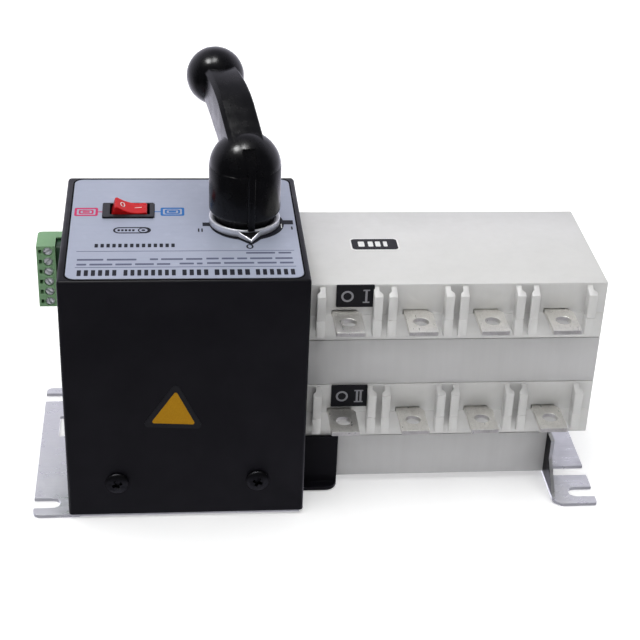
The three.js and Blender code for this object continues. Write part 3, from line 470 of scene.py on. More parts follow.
def strip(line, thickness):
    """Outline of a bent sheet: the line is one face, the other lies to its left."""
    points = [Vector(p) for p in line]
    other = []
    for i, p in enumerate(points):
        before = (p - points[i - 1]).normalized() if i else None
        after = (points[i + 1] - p).normalized() if i + 1 < len(points) else None
        tangent = ((before or after) + (after or before)).normalized()
        normal = Vector((-tangent.y, tangent.x))
        spread = normal.dot(Vector((-(before or after).y, (before or after).x)))
        other.append(p + normal * thickness / spread)
    return [tuple(p) for p in points] + [tuple(p) for p in reversed(other)]


def ridden(obj, body="enclosure"):
    """Fixes a piece to a body.

    A piece called NODE_visual takes the place of that CAD node.
    """
    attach(obj, body)
    if obj.name.endswith("_visual"):
        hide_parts(obj.name.removesuffix("_visual"))


def softened(node, material, width, segments=3, seams=()):
    """Copy of a CAD node with its coplanar triangles merged and its edges rounded.

    seams lists (from z, to z) pairs that move a whole face to close up a joint.
    """
    bm = bmesh.new()
    bm.from_mesh(nodes[node].data)
    for old, new in seams:
        for vert in bm.verts:
            if abs(vert.co.z - old * MM) < 2e-5:
                vert.co.z = new * MM
    bmesh.ops.remove_doubles(bm, verts=bm.verts, dist=1e-6)
    bmesh.ops.dissolve_limit(bm, angle_limit=math.radians(1), verts=bm.verts, edges=bm.edges)
    bmesh.ops.recalc_face_normals(bm, faces=bm.faces)
    mesh = bpy.data.meshes.new(node + "_visual")
    bm.to_mesh(mesh)
    bm.free()
    mesh.materials.append(MATERIALS[material])
    obj = bpy.data.objects.new(node + "_visual", mesh)
    bpy.context.scene.collection.objects.link(obj)
    bevelled(obj, width, segments)
    round_off(obj)
    return obj


# ---- camera, floor and light

def add_camera():
    data = bpy.data.cameras.new("camera")
    data.sensor_width = 36
    data.lens = 86.61
    data.shift_x = -0.0130
    data.shift_y = 0.0843
    data.clip_start = 0.02
    data.clip_end = 30
    camera = bpy.data.objects.new("camera", data)
    yaw = math.radians(6.78)
    roll = math.radians(2.76)
    forward = Vector((0.10085, 0.84790, -0.52048)).normalized()
    level = Vector((math.cos(yaw), -math.sin(yaw), 0))
    upright = level.cross(forward)
    right = math.cos(roll) * level + math.sin(roll) * upright
    up = math.cos(roll) * upright - math.sin(roll) * level
    camera.matrix_world = Matrix.Translation((-0.062912, -0.588302, 0.398213)) @ Matrix(
        (right, up, -forward)).transposed().to_4x4()
    bpy.context.scene.collection.objects.link(camera)
    bpy.context.scene.camera = camera


def add_floor():
    n = Nodes("floor_paper")
    fibre = n.noise(3, 4)
    n.set(colour=n.mix(n.remap(fibre, 0.3, 0.7), (0.93, 0.93, 0.93, 1), (0.95, 0.95, 0.95, 1)),
          roughness=0.9, specular=0.1)
    n.shader.inputs["Emission Color"].default_value = (1, 1, 1, 1)
    n.shader.inputs["Emission Strength"].default_value = 0.3
    n.bump((fibre, 0.05, 0.1))
    bm = bmesh.new()
    bmesh.ops.create_grid(bm, x_segments=2, y_segments=2, size=6000)
    floor = finished("floor", bm, "floor_paper")
    floor.location.z = -0.0003
    floor.visible_glossy = False


def area_light(name, place, target, size, power, diffuse=True, glossy=True):
    data = bpy.data.lights.new(name, "AREA")
    data.shape = "RECTANGLE"
    data.size, data.size_y = size
    data.energy = power
    light = bpy.data.objects.new(name, data)
    direction = Vector(target) - Vector(place)
    light.matrix_world = Matrix.Translation(place) @ direction.to_track_quat("-Z", "Y").to_matrix().to_4x4()
    light.visible_diffuse = diffuse
    light.visible_glossy = glossy
    bpy.context.scene.collection.objects.link(light)


def add_world():
    """White to the camera, a soft even sky for matt light, and a studio for reflections.

    The studio is bright behind the object, most of all low down, dark in front, with a pale
    table in front below.
    """
    world = bpy.data.worlds.new("studio")
    bpy.context.scene.world = world
    world.use_nodes = True
    tree = world.node_tree
    tree.nodes.clear()

    def add(kind, inputs=None, **settings):
        return add_node(tree, kind, inputs, **settings)

    def ramp(value, low, high, to_low, to_high):
        limits = {"Value": value, "From Min": low, "From Max": high, "To Min": to_low, "To Max": to_high}
        return add("ShaderNodeMapRange", limits, interpolation_type="SMOOTHSTEP").outputs[0]

    path = add("ShaderNodeLightPath")
    direction = add("ShaderNodeSeparateXYZ", {"Vector": add("ShaderNodeTexCoord").outputs["Generated"]})
    behind = ramp(direction.outputs["Y"], -0.15, 0.55, 0.0, 1.12)
    table = ramp(direction.outputs["Z"], -0.45, -0.1, 1.5, 1.0)
    high = ramp(direction.outputs["Z"], 0.4, 0.8, 1.0, 0.4)
    for factor in (table, high):
        behind = add("ShaderNodeMath", {0: behind, 1: factor}, operation="MULTIPLY").outputs[0]
    below = ramp(direction.outputs["Z"], -0.56, -0.30, 0.5, 0.04)
    studio = add("ShaderNodeMath", {0: behind, 1: below}, operation="MAXIMUM")
    reflected = add("ShaderNodeBackground", {"Color": (0.88, 0.865, 1, 1), "Strength": studio.outputs[0]})
    even = add("ShaderNodeBackground", {"Color": (0.97, 0.98, 1, 1), "Strength": 0.145})
    seen = add("ShaderNodeBackground", {"Color": (1, 1, 1, 1), "Strength": 1.0})
    lit = add("ShaderNodeMixShader", {0: path.outputs["Is Diffuse Ray"], 1: reflected.outputs[0],
                                      2: even.outputs[0]})
    mix = add("ShaderNodeMixShader", {0: path.outputs["Is Camera Ray"], 1: lit.outputs[0],
                                      2: seen.outputs[0]})
    add("ShaderNodeOutputWorld", {"Surface": mix.outputs[0]})


def add_light():
    area_light("top_softbox", (-0.1, -0.05, 1.5), (0, 0, 0), (2.2, 1.8), 33, glossy=False)
    area_light("front_fill", (-0.2, -1.5, 0.8), (0, 0, 0.05), (1.2, 0.6), 1.15, glossy=False)
    for name, x, width, power in (("left_panel", -0.66, 0.42, 21), ("right_panel", -0.12, 0.28, 11)):
        area_light(name, (x, -0.1, 1.55), (-0.04, 0.02, 0.15), (width, 0.36), power, diffuse=False)
    add_world()
    bpy.context.scene.view_settings.view_transform = "Standard"


add_camera()
add_floor()
add_light()


# ---- steel base and feet

def foot_slot(side, y, depth):
    """Cutter for an open-ended slot with a round inner end, from the outer end of a foot."""
    inner = side * (HALF_LENGTH - depth)
    outer = side * (HALF_LENGTH + 3)
    half = SLOT_WIDTH / 2
    corners = [(inner, y - half, half), (outer, y - half), (outer, y + half), (inner, y + half, half)]
    return prism("slot", corner_rounded(corners, 14), -1, SHEET + 1)


def base_plate():
    inside_x0 = COVER["x0"] + COVER_WALL + 0.3
    inside_x1 = COVER["x1"] - COVER_WALL - 0.3
    y0 = COVER["y0"] + COVER_WALL + 0.3
    y1 = COVER["y1"] - COVER_WALL - 0.3
    outline = corner_rounded([
        (-HALF_LENGTH, FOOT_Y0, 3), (inside_x0 + 4, FOOT_Y0, 2), (inside_x0 + 4, y0),
        (inside_x1, y0), (inside_x1, y1), (inside_x0 + 4, y1), (inside_x0 + 4, FOOT_Y1, 2),
        (-HALF_LENGTH, FOOT_Y1, 3)])
    steel = "zinc_plated_steel"
    plate = prism("base_plate_visual", outline, 0, SHEET, "z", steel)
    window = prism("window", rectangle(-115.2, -104, 38, 55, 1), -1, SHEET + 1)
    boolean(plate, [*(foot_slot(-1, y, SLOT_DEPTH) for y in SLOT_Y), window])
    flanges = [block("flange", inside_x0, inside_x1, a, a + SHEET, 0, 26.2, steel) for a in (y0, y1 - SHEET)]
    boolean(plate, flanges, "UNION")
    bevelled(plate, 0.25, 3)
    ridden(plate)


def right_bracket():
    steel = "zinc_plated_steel"
    x = 102.65
    line = [(x, 24.4)] + arc((x + 2.2, 2.2), 2.2, 180, 270, 8) + [(HALF_LENGTH, 0)]
    # the sheet is drawn as one bent strip, then trimmed to the web and foot outlines
    bm = bmesh.new()
    add_prism(bm, strip(line, SHEET), FOOT_Y0, FOOT_Y1, "y")
    bracket = finished("right_mounting_bracket_visual", bm, steel)
    web_front, slope_top, inset = -7, 15, 3
    rear = FOOT_Y0 + FOOT_Y1 - web_front
    side = [(FOOT_Y0 - 1, -1), (FOOT_Y1 + 1, -1), (FOOT_Y1 + 1, inset), (FOOT_Y1 - inset, inset),
            (rear, slope_top), (rear, 26), (web_front, 26), (web_front, slope_top),
            (FOOT_Y0 + inset, inset), (FOOT_Y0 - 1, inset)]
    keep = prism("keep", side, x - 2, HALF_LENGTH + 2, "x")
    plan = [(x - 2, FOOT_Y0 + inset), (x, FOOT_Y0 + inset), (x + 4.5, FOOT_Y0), (HALF_LENGTH, FOOT_Y0, 1.2),
            (HALF_LENGTH, FOOT_Y1, 1.2), (x + 4.5, FOOT_Y1), (x, FOOT_Y1 - inset), (x - 2, FOOT_Y1 - inset)]
    trim = prism("trim", corner_rounded(plan), -2, 30)
    boolean(bracket, [keep, trim], "INTERSECT")
    spare = HALF_LENGTH - x - SHEET - 0.6
    boolean(bracket, [*(foot_slot(1, y, SLOT_DEPTH) for y in SLOT_Y),
                      *(foot_slot(1, y, spare) for y in SPARE_SLOT_Y)])
    bevelled(bracket, 0.2, 2, 40)
    ridden(bracket)
    # thin black sheet on the web's inner face, just inside its edges: painted shade on that face
    edge = inset + 0.6
    front, back = web_front + 0.4, rear - 0.4
    outline = [(FOOT_Y0 + edge, inset + 0.4), (FOOT_Y1 - edge, inset + 0.4), (back, slope_top),
               (back, 24), (front, 24), (front, slope_top)]
    painted_shade_sheet = prism("bracket_painted_shade", outline, x - 0.12, x + 0.02, "x", "black_paint")
    ridden(painted_shade_sheet)


def coupling_bracket():
    """Black folded bracket: a web, two legs over the base walls, toes turned out at the floor."""
    paint = "black_paint"
    x0, x1 = -7.3, 8.8
    front, rear, top, bottom, toe = -0.3, 69.5, 25.2, 0.3, 4.9
    web = block("coupling_bracket_visual", x0, x0 + SHEET, front - SHEET, rear + SHEET, bottom, top, paint)
    bend = 2.0
    low = bottom + bend
    section = [(0, top)] + arc((bend, low), bend, 180, 270)
    section += [(SHEET + toe, bottom), (SHEET + toe, bottom + SHEET)]
    section += arc((bend, low), bend - SHEET, 270, 180) + [(SHEET, top)]
    for wall, out in ((front, -1), (rear, 1)):
        leg = prism("leg", [(wall + out * away, z) for away, z in section], x0, x1, "x", paint)
        tip = wall + out * (SHEET + toe)
        plan = [(x0 - 1, wall - out), (x1, wall - out), (x1, tip, 5.5), (x0 - 1, tip)]
        boolean(leg, [prism("trim", corner_rounded(plan, 10), -1, 30)], "INTERSECT")
        boolean(web, [leg], "UNION")
    bevelled(web, 0.25, 3, 40)
    ridden(web)


base_plate()
right_bracket()
coupling_bracket()


# ---- mechanism cover and label

def mechanism_cover():
    c = COVER
    cover = block("mechanism_cover_visual", c["x0"], c["x1"], c["y0"], c["y1"], c["z0"], c["z1"],
                  "black_paint")
    bm = bmesh.new()
    bm.from_mesh(cover.data)
    low = c["z0"] * MM + 1e-5
    rear = (c["y1"] - CENTRE_Y) * MM - 1e-5
    high = c["z1"] * MM - 1e-5
    edges = [e for e in bm.edges if max(v.co.z for v in e.verts) > low
             and not all(v.co.z > high and v.co.y > rear for v in e.verts)]
    bmesh.ops.bevel(bm, geom=edges, offset=1.5 * MM, segments=5, profile=0.5, affect="EDGES")
    bm.to_mesh(cover.data)
    bm.free()
    w = COVER_WALL
    cavity = block("cavity", c["x0"] + w, c["x1"] - w, c["y0"] + w, c["y1"] - w, c["z0"] - 5, c["z1"] - w)
    x, y = ROCKER
    cutters = [
        cavity,
        block("rocker_hole", x - 10.2, x + 10.2, y - 6.4, y + 6.4, c["z1"] - 3, c["z1"] + 1),
        prism("spindle_hole", circle(*SPINDLE, SPINDLE_HOLE), c["z1"] - 3, c["z1"] + 1),
        block("header_hole", c["x0"] - 1, c["x0"] + 3, 61, 72.3, 57.9, 86.7),
    ]
    for drop in (0, UNIT_PITCH):
        hole = circle(SHAFT[0], SHAFT[1] - drop, 7)
        cutters.append(prism("shaft_hole", hole, c["x1"] - 3, c["x1"] + 1, "x"))
    boolean(cover, cutters)
    bevelled(cover, 0.2, 2, 50)
    round_off(cover)
    ridden(cover)


def cover_label():
    outline = rectangle(-104.1, -10.4, -21.3, 71.7, 4, 10)
    label = prism("cover_label_visual", outline, LABEL_BASE, LABEL_TOP, "z", "label_film")
    x, y = ROCKER
    boolean(label, [
        block("rocker_hole", x - 10.9, x + 10.9, y - 7.1, y + 7.1, 113, 116),
        prism("spindle_hole", circle(*SPINDLE, SPINDLE_HOLE), 113, 116),
    ])
    bevelled(label, 0.08, 2)
    ridden(label)


def label_edge_shade():
    """Matt black line on the cover round the label, wider along the rear: painted shadow along the label's
    edge.
    """
    outer = rectangle(-104.8, -9.7, -21.9, 73.5, 4.6, 10)
    inner = rectangle(-103.9, -10.6, -21.1, 71.5, 3.9, 10)
    ink("label_edge_shade", [(outer, inner)], "matt", COVER["z1"], 0.05)


def add_band(bm, outer, inner, low, high, axis="z"):
    """Closed band between two outlines that have the same number of points."""
    point = AXIS_ORDER[axis]
    loops = [[bm.verts.new(point(a, b, level)) for a, b in outline]
             for outline, level in ((outer, low), (outer, high), (inner, high), (inner, low))]
    for k in range(4):
        first, second = loops[k], loops[(k + 1) % 4]
        for i in range(len(outer)):
            j = (i + 1) % len(outer)
            bm.faces.new((first[i], first[j], second[j], second[i]))


def ink(name, marks, colour, base=LABEL_TOP, thickness=0.04, axis="z"):
    """Printed marks, thin closed plates just over a surface.

    A mark is one outline, or a pair of outlines for the band between them.
    """
    low, high = sorted((base + math.copysign(0.01, thickness), base + thickness))
    bm = bmesh.new()
    for mark in marks:
        if isinstance(mark, tuple):
            add_band(bm, *mark, low, high, axis)
        else:
            add_prism(bm, mark, low, high, axis)
    ridden(finished(name, bm, f"ink_{colour}"))


def words(x0, x1, y, lengths, gap):
    """Bars for small words whose lengths share the row from x0 to x1."""
    unit = (x1 - x0 - gap * (len(lengths) - 1)) / sum(lengths)
    bars = []
    for length in lengths:
        bars.append(rectangle(x0, x0 + unit * length, y, y + SMALL_PRINT, 0.25, 3))
        x0 += unit * length + gap
    return bars


def glyph_blocks(x0, x1, y0, y1, count, gap):
    """A word as a row of plain upright blocks, one for each character."""
    width = (x1 - x0 - gap * (count - 1)) / count
    return [rectangle(x0 + k * (width + gap), x0 + k * (width + gap) + width, y0, y1, 0.25, 3)
            for k in range(count)]


def label_print():
    headline = []
    for x0, x1, count in ((-99.6, -84.2, 6), (-81.4, -61.0, 8), (-58.4, -48.2, 4),
                          (-45.7, -31.8, 5), (-29.4, -13.9, 6)):
        headline += glyph_blocks(x0, x1, -18.9, -14.1, count, 1.15)
    headline += glyph_blocks(-93.5, -61.2, 5.6, 8.8, 14, 1.0)
    ink("label_headline", headline, "dark")
    small = []
    for x0, x1, y, lengths, gap in (
            (-32.5, -14.2, -0.6, (9, 4), 1.4),
            (-100.0, -76.5, -5.9, (8, 9), 1.4), (-71.2, -50.3, -5.7, (3, 8, 6), 1.2),
            (-48.7, -14.0, -5.4, (5, 5, 4, 9, 7), 1.2),
            (-100.0, -78.3, -10.0, (3, 7, 5), 1.2), (-77.0, -63.1, -9.9, (7, 5), 1.2),
            (-59.4, -50.3, -9.6, (5, 2), 1.2), (-48.5, -13.9, -9.3, (5, 11, 7, 5), 1.3)):
        small += words(x0, x1, y, lengths, gap)
    ink("label_small_print", small, "rule")
    rules = [rectangle(-100.5, -12.9, 2.0, 2.35), rectangle(-100.5, -13.1, -12.0, -11.6)]
    ink("label_rules", rules, "rule")
    for name, x0, x1, link, colour in (("source_1", -103.0, -93.2, (-93.4, -91.1), "pink"),
                                       ("source_2", -66.9, -56.9, (-69.5, -66.7), "blue")):
        def inset(dx, dy, radius):
            return rectangle(x0 + dx, x1 - dx, 34.9 + dy, 42.8 - dy, radius, 4)

        bands = [(inset(0, 0, 0.9), inset(1.0, 1.2, 0.5)), (inset(1.8, 1.9, 0.9), inset(2.6, 2.7, 0.5))]
        ink(f"label_frame_{name}", bands, colour)
        middle = 38.85
        bars = [rectangle(*link, middle - 0.35, middle + 0.35),
                rectangle(x0 + 3.4, x1 - 3.4, middle - 0.7, middle + 0.7, 0.3, 3)]
        ink(f"label_mark_{name}", bars, colour)
    dot = (-74.0, 21.2)
    capsule = [(rectangle(-86.4, -70.9, 18.3, 24.1, 2.8, 10),
                rectangle(-85.6, -71.7, 19.15, 23.25, 2.0, 10)),
               (circle(*dot, 2.3, 32), circle(*dot, 1.75, 32))]
    ink("label_capsule", capsule, "dark")
    marks = glyph_blocks(-84.6, -77.6, 20.3, 22.1, 5, 0.5) + [circle(*dot, 0.8, 20)]
    ink("label_capsule_mark", marks, "dark")


def dial_print():
    """Black dial ring with a pointer bulge, two side tabs, and the numerals I, 0 and II."""
    x, y = DIAL
    outer = []
    steps = 96
    for k in range(steps):
        turn = 2 * math.pi * k / steps
        away = abs(math.degrees((turn + math.pi / 2 + math.pi) % (2 * math.pi) - math.pi) - 3)
        radius = 15.6 + 0.6 * max(0.0, -math.sin(turn)) + 4.4 * max(0.0, 1 - away / 17) ** 1.3
        outer.append((x + radius * math.cos(turn), y + radius * math.sin(turn)))
    ink("dial_ring", [(outer, circle(x, y, 12.0, steps))], "dark")
    tabs = [rectangle(-49.5, -46.0, 24.9, 28.2), rectangle(-15.9, -11.45, 26.2, 30.1)]
    ink("dial_tabs", tabs, "dark", thickness=0.05)
    strokes = [rectangle(-12.6, -12.0, 21.3, 24.1),
               rectangle(-51.5, -50.9, 19.5, 22.6), rectangle(-50.1, -49.5, 19.5, 22.6)]
    ink("dial_numerals", strokes, "dark")
    # painted highlight: a white stroke standing in for a glint at the ring's side
    ink("dial_painted_glint", [rectangle(-16.75, -16.35, 22.8, 26.6)], "white", thickness=0.06)
    zero = [([(-30.7 + 1.5 * c, 5.8 + 2.1 * s) for c, s in circle(0, 0, 1, 32)],
             [(-30.7 + 0.8 * c, 5.8 + 1.35 * s) for c, s in circle(0, 0, 1, 32)])]
    ink("dial_zero", zero, "dark")


def warning_sticker():
    """Plain yellow triangle with a black border on the front of the cover."""
    wall = COVER["y0"]
    outer = corner_rounded([(-75.9, 46.0, 1.6), (-50.1, 44.6, 1.6), (-61.4, 67.4, 1.6)], 6)
    inner = corner_rounded([(-72.0, 47.9, 0.8), (-53.6, 46.9, 0.8), (-61.5, 63.3, 0.8)], 6)
    ink("warning_border", [outer], "sticker", wall, -0.12, "y")
    ink("warning_field", [inner], "yellow", wall - 0.12, -0.04, "y")


def cover_screw(node, x, wall, out, turn):
    """Pan head with a cross recess, standing on the wall; out is the direction it faces."""
    steel = "black_screw"
    head = [(0, 0), (4.2, 0), (4.75, 0.3), (4.85, 0.7)] + [
        (4.85 * math.cos(math.radians(t)), 0.7 + 1.3 * math.sin(math.radians(t))) for t in range(10, 90, 10)]
    head += [(0, 2.0)]
    bm = bmesh.new()
    add_lathe(bm, head, 0, 0, 48)
    add_lathe(bm, [(0, -5.0), (1.9, -5.0), (1.9, 0.05), (0, 0.05)], 0, 0, 24)
    facing = Matrix.Rotation(math.radians(90 if out < 0 else -90), 4, "X")
    place = Matrix.Translation((x, wall + out * 0.1, 18.2)) @ facing
    screw = finished(f"{node}_visual", bm, steel, place)
    cutters = []
    for k in range(2):
        arm = bmesh.new()
        outline = [(-2.6, 2.2), (2.6, 2.2), (1.0, 0.5), (-1.0, 0.5)]
        add_prism(arm, outline, -0.75, 0.75, "y")
        spin = Matrix.Rotation(math.radians(turn + 90 * k), 4, "Z")
        cutters.append(finished("cross", arm, steel, place @ spin))
    boolean(screw, cutters)
    bevelled(screw, 0.12, 2, 40)
    ridden(screw)


mechanism_cover()
cover_label()
label_edge_shade()
label_print()
dial_print()
warning_sticker()
for row, wall, out in (("front", COVER["y0"], -1), ("rear", COVER["y1"], 1)):
    for column, x, turn in (("left", -86.6, 22), ("right", -27.5, 68)):
        cover_screw(f"cover_screw_{row}_{column}", x, wall, out, turn)


# ---- rocker switch

def rocker():
    x, y = ROCKER
    plastic = "black_plastic"
    bezel = rectangle(x - 11.0, x + 10.6, y - 7.4, y + 6.2, 0.8)
    housing = prism("rocker_housing_visual", bezel, LABEL_BASE, 115.2, "z", plastic)
    well = block("well", x - 9.9, x + 9.9, y - 6.1, y + 6.1, 103.0, 114.5, plastic)
    boolean(housing, [well], "UNION")
    cavity = prism("cavity", rectangle(x - 7.9, x + 8.9, y - 5.2, y + 5.2, 0.4), 104.0, 118)
    boolean(housing, [cavity])
    bevelled(housing, 0.4, 4, 40)
    ridden(housing)

    radius = 7.3
    tip, tip_height, dip = 6.1, 5.3, 3.4
    valley = [(6.9, 4.9, 0.35), (tip, tip_height, 0.5), (0, dip, 14),
              (-tip, tip_height, 0.5), (-6.9, 4.9, 0.35)]
    top = corner_rounded([(-radius, 0), (radius, 0)] + valley, 6)[2:]
    outline = arc((0, 0), radius, 180, 360, 28) + top
    bm = bmesh.new()
    add_prism(bm, outline, -4.9, 4.9, "y")
    tilt = Matrix.Translation((x, y, ROCKER_CENTRE_Z)) @ Matrix.Rotation(ROCKER_TILT, 4, "Y")
    button = finished("rocker_button_visual", bm, "red_plastic", tilt)
    bevelled(button, 0.45, 4, 50)
    ridden(button, "rocker")

    # O and bar marks, each lying on its half of the rocker top
    slope = math.atan2(tip_height - dip, tip)
    for name, along, mark in (("rocker_mark_off", -3.5, "ring"), ("rocker_mark_on", 3.1, "bar")):
        lean = Matrix.Rotation(slope if along < 0 else -slope, 4, "Y")
        level = dip + abs(along) * math.tan(slope) + 0.1
        bm = bmesh.new()
        if mark == "ring":
            add_band(bm, [(1.1 * c, 1.9 * s) for c, s in circle(0, 0, 1, 32)],
                     [(0.82 * c, 1.6 * s) for c, s in circle(0, 0, 1, 32)], 0, 0.14)
        else:
            add_prism(bm, rectangle(-1.5, 1.5, -0.18, 0.18, 0.1, 3), 0, 0.14)
        place = tilt @ Matrix.Translation((along, 0, level)) @ lean
        ridden(finished(name, bm, "ink_white", place), "rocker")


rocker()


# ---- dial ring and hand lever

def turned_points(points, degrees=0):
    """Points (a, b, ...) from the spindle axis, turned anticlockwise seen from above."""
    x, y = SPINDLE
    c, d = math.cos(math.radians(degrees)), math.sin(math.radians(degrees))
    return [(x + c * p[0] - d * p[1], y + d * p[0] + c * p[1], *p[2:]) for p in points]


def position_indicator():
    """Silver cup-like ring with a bright rim and a sloping triangular pointer."""
    x, y = SPINDLE
    plate = "bright_plate"
    profile = [(9.5, 114.7), (14.5, 114.7), (14.7, 114.9), (14.85, 117.4), (14.8, 117.75), (14.6, 117.9),
               (14.35, 117.85), (13.25, 117.45), (13.05, 117.2), (13.0, 115.9), (9.5, 115.9), (9.5, 114.7)]
    ring = lathe("position_indicator_visual", profile, x, y, plate)
    web = prism("web", circle(x, y, 9.8, 64), 114.7, 115.9, "z", plate)
    boolean(web, [prism("bore", circle(x, y, 6.3, 32), 114, 117)])

    shoulder, apex = 13.6, 19.7
    slope = 1.9 / (apex - shoulder)

    def sloped(half, front, back, z0, z1, material):
        outline = turned_points([(-half, -back), (0, -front), (half, -back)], 5.5)
        piece = prism("pointer", outline, z0, z1, "z", material)
        for vert in piece.data.vertices:
            forward = math.hypot(vert.co.x / MM - x, vert.co.y / MM + CENTRE_Y - y) - shoulder
            if vert.co.z > (z0 + 0.5) * MM:
                vert.co.z -= slope * max(0.0, forward) * MM
        return piece

    pointer = sloped(5.3, apex, shoulder - 0.6, 114.7, 117.5, plate)
    boolean(ring, [web, pointer], "UNION")
    bevelled(ring, 0.12, 2, 45)
    round_off(ring)
    ridden(ring, "spindle_assembly")
    infill = sloped(4.55, apex - 0.75, shoulder + 0.3, 115.1, 117.6, "ink_matt")
    ridden(infill, "spindle_assembly")


RIB_TURN = 8.1                         # degrees from the front of the handle to its rib
RIB_WIDTH = 2.9
HANDLE_SPLIT = 141.0
DOME_CENTRE = 139.9
DOME_RADIUS = 14.9


def handle_socket():
    x, y = SPINDLE
    plastic = "handle_plastic"
    profile = [(0, 116.2), (12.3, 116.2), (12.6, 116.5), (12.6, 118.7), (12.75, 119.1), (14.5, 121.1),
               (14.8, 121.6), (14.9, 122.2), (14.9, 140.85), (14.82, 140.97), (14.6, 141.0), (0, 141.0)]
    socket = lathe("handle_socket_visual", profile, x, y, plastic)
    half = RIB_WIDTH / 2
    corners = turned_points([(-half, -15.55, 0.4), (half, -15.55, 0.4), (half, -12), (-half, -12)], RIB_TURN)
    boolean(socket, [prism("rib", corner_rounded(corners, 4), 117.6, 140.95, "z", plastic)], "UNION")
    boolean(socket, [block("bore", x - 5.3, x + 5.3, y - 5.3, y + 5.3, 115, 136.3),
                     prism("relief", circle(x, y, 6.3, 32), 115, 119.3)])
    bevelled(socket, 0.15, 2, 50)
    round_off(socket)
    ridden(socket, "hand_lever")


ARM_BEARING = Vector((KNOB.x - SPINDLE[0], KNOB.y - SPINDLE[1], 0)).normalized()
# stations along the arm: distance from the spindle axis, top z, underside z, left and right reach
ARM = [(-7.0, 151.4, 141.4, 7.8, 6.6), (-4.0, 153.0, 141.4, 7.8, 6.7), (0.0, 155.2, 141.3, 7.75, 6.8),
       (4.0, 157.5, 141.9, 7.7, 6.9), (9.0, 160.4, 143.2, 7.6, 7.0), (13.0, 162.6, 144.5, 7.5, 7.1),
       (17.0, 164.5, 146.0, 7.35, 7.1), (22.0, 166.2, 147.8, 7.25, 7.05), (27.0, 167.4, 149.9, 7.15, 6.9),
       (33.0, 168.3, 152.1, 7.05, 6.7), (39.0, 168.7, 154.1, 7.0, 6.5), (44.5, 168.8, 155.9, 6.9, 6.3)]
ARM_CHAMFER = 1.7                      # along the left top edge
RIGHT_CHAMFER = 0.5
# corners of the recess beside the rib, from the spindle axis: its floor, and its mouth outside
RECESS_FLOOR = [(-1.1, -8.7, 151.4), (3.75, -8.6, 151.4), (3.5, -12.4, 146.1), (1.4, -12.3, 146.1)]
RECESS_MOUTH = [(-3.4, -10.8, 151.9), (4.1, -10.9, 151.9), (3.9, -15.2, 145.4), (-4.6, -13.4, 148.6)]


def smooth_stations(stations, steps=6):
    """Catmull-Rom curve through the stations."""
    rows = []
    for i in range(len(stations) - 1):
        a, b, c, d = (Vector(stations[min(max(k, 0), len(stations) - 1)]) for k in range(i - 1, i + 3))
        for k in range(steps):
            t = k / steps
            rows.append(0.5 * (2 * b + (c - a) * t + (2 * a - 5 * b + 4 * c - d) * t ** 2
                               + (3 * b - a - 3 * c + d) * t ** 3))
    rows.append(Vector(stations[-1]))
    return rows


def loft(name, loops, material="handle_plastic"):
    """Closed body through loops of points with equal counts."""
    bm = bmesh.new()
    rings = [[bm.verts.new(p) for p in loop] for loop in loops]
    for first, second in zip(rings, rings[1:]):
        for k in range(len(first)):
            j = (k + 1) % len(first)
            bm.faces.new((first[k], first[j], second[j], second[k]))
    bm.faces.new(rings[0][::-1])
    bm.faces.new(rings[-1])
    return finished(name, bm, material)


def handle_arm():
    side = Vector((-ARM_BEARING.y, ARM_BEARING.x, 0))
    origin = Vector((*SPINDLE, 0))
    loops = []
    for s, top, bottom, left, right in smooth_stations(ARM):
        low, high = bottom + 1, top - ARM_CHAMFER
        section = [(-right, low), (-right + 1, bottom), (left - 1, bottom), (left, low),
                   (left, high), (left - ARM_CHAMFER, top), (-right + RIGHT_CHAMFER, top),
                   (-right, top - RIGHT_CHAMFER)]
        loops.append([origin + ARM_BEARING * s + side * a + Vector((0, 0, b)) for a, b in section])
    return loft("arm", loops)


def knob_ball(name, radius):
    bm = bmesh.new()
    bmesh.ops.create_uvsphere(bm, u_segments=96, v_segments=64, radius=radius)
    return finished(name, bm, "handle_plastic", Matrix.Translation(KNOB))


def handle_lever():
    """Domed cap and curved arm in one moulding, with a chamfer along both top edges."""
    plastic = "handle_plastic"
    x, y = SPINDLE
    z0 = HANDLE_SPLIT
    start = math.degrees(math.asin((z0 + 0.1 - DOME_CENTRE) / DOME_RADIUS))
    profile = [(0, z0), (14.78, z0)] + arc((0, DOME_CENTRE), DOME_RADIUS, start, 89, 20)
    profile += [(0, DOME_CENTRE + DOME_RADIUS)]
    dome = lathe("handle_lever_visual", profile, x, y, plastic)
    boolean(dome, [handle_arm()], "UNION")
    boolean(dome, [knob_ball("seat", KNOB_RADIUS + 0.12)])
    bevelled(dome, 0.45, 3, 32, lambda p: p.z > z0 + 0.5 and (p - KNOB).length > KNOB_RADIUS + 0.6, False)
    half = RIB_WIDTH / 2
    loops = [turned_points([(-half, -10, z), (half, -10, z), (half, -front, z), (-half, -front, z)], RIB_TURN)
             for z, front in ((z0, 15.55), (143.3, 15.1), (145.5, 13.9))]
    boolean(dome, [loft("rib", loops)], "UNION")
    boolean(dome, [loft("recess", [turned_points(loop) for loop in (RECESS_FLOOR, RECESS_MOUTH)])])
    round_off(dome, 38)
    ridden(dome, "hand_lever")


position_indicator()
handle_socket()
handle_lever()
ridden(knob_ball("handle_knob_visual", KNOB_RADIUS), "hand_lever")


# ---- terminal plug and header

WAYS = 6
WAY_PITCH = 5

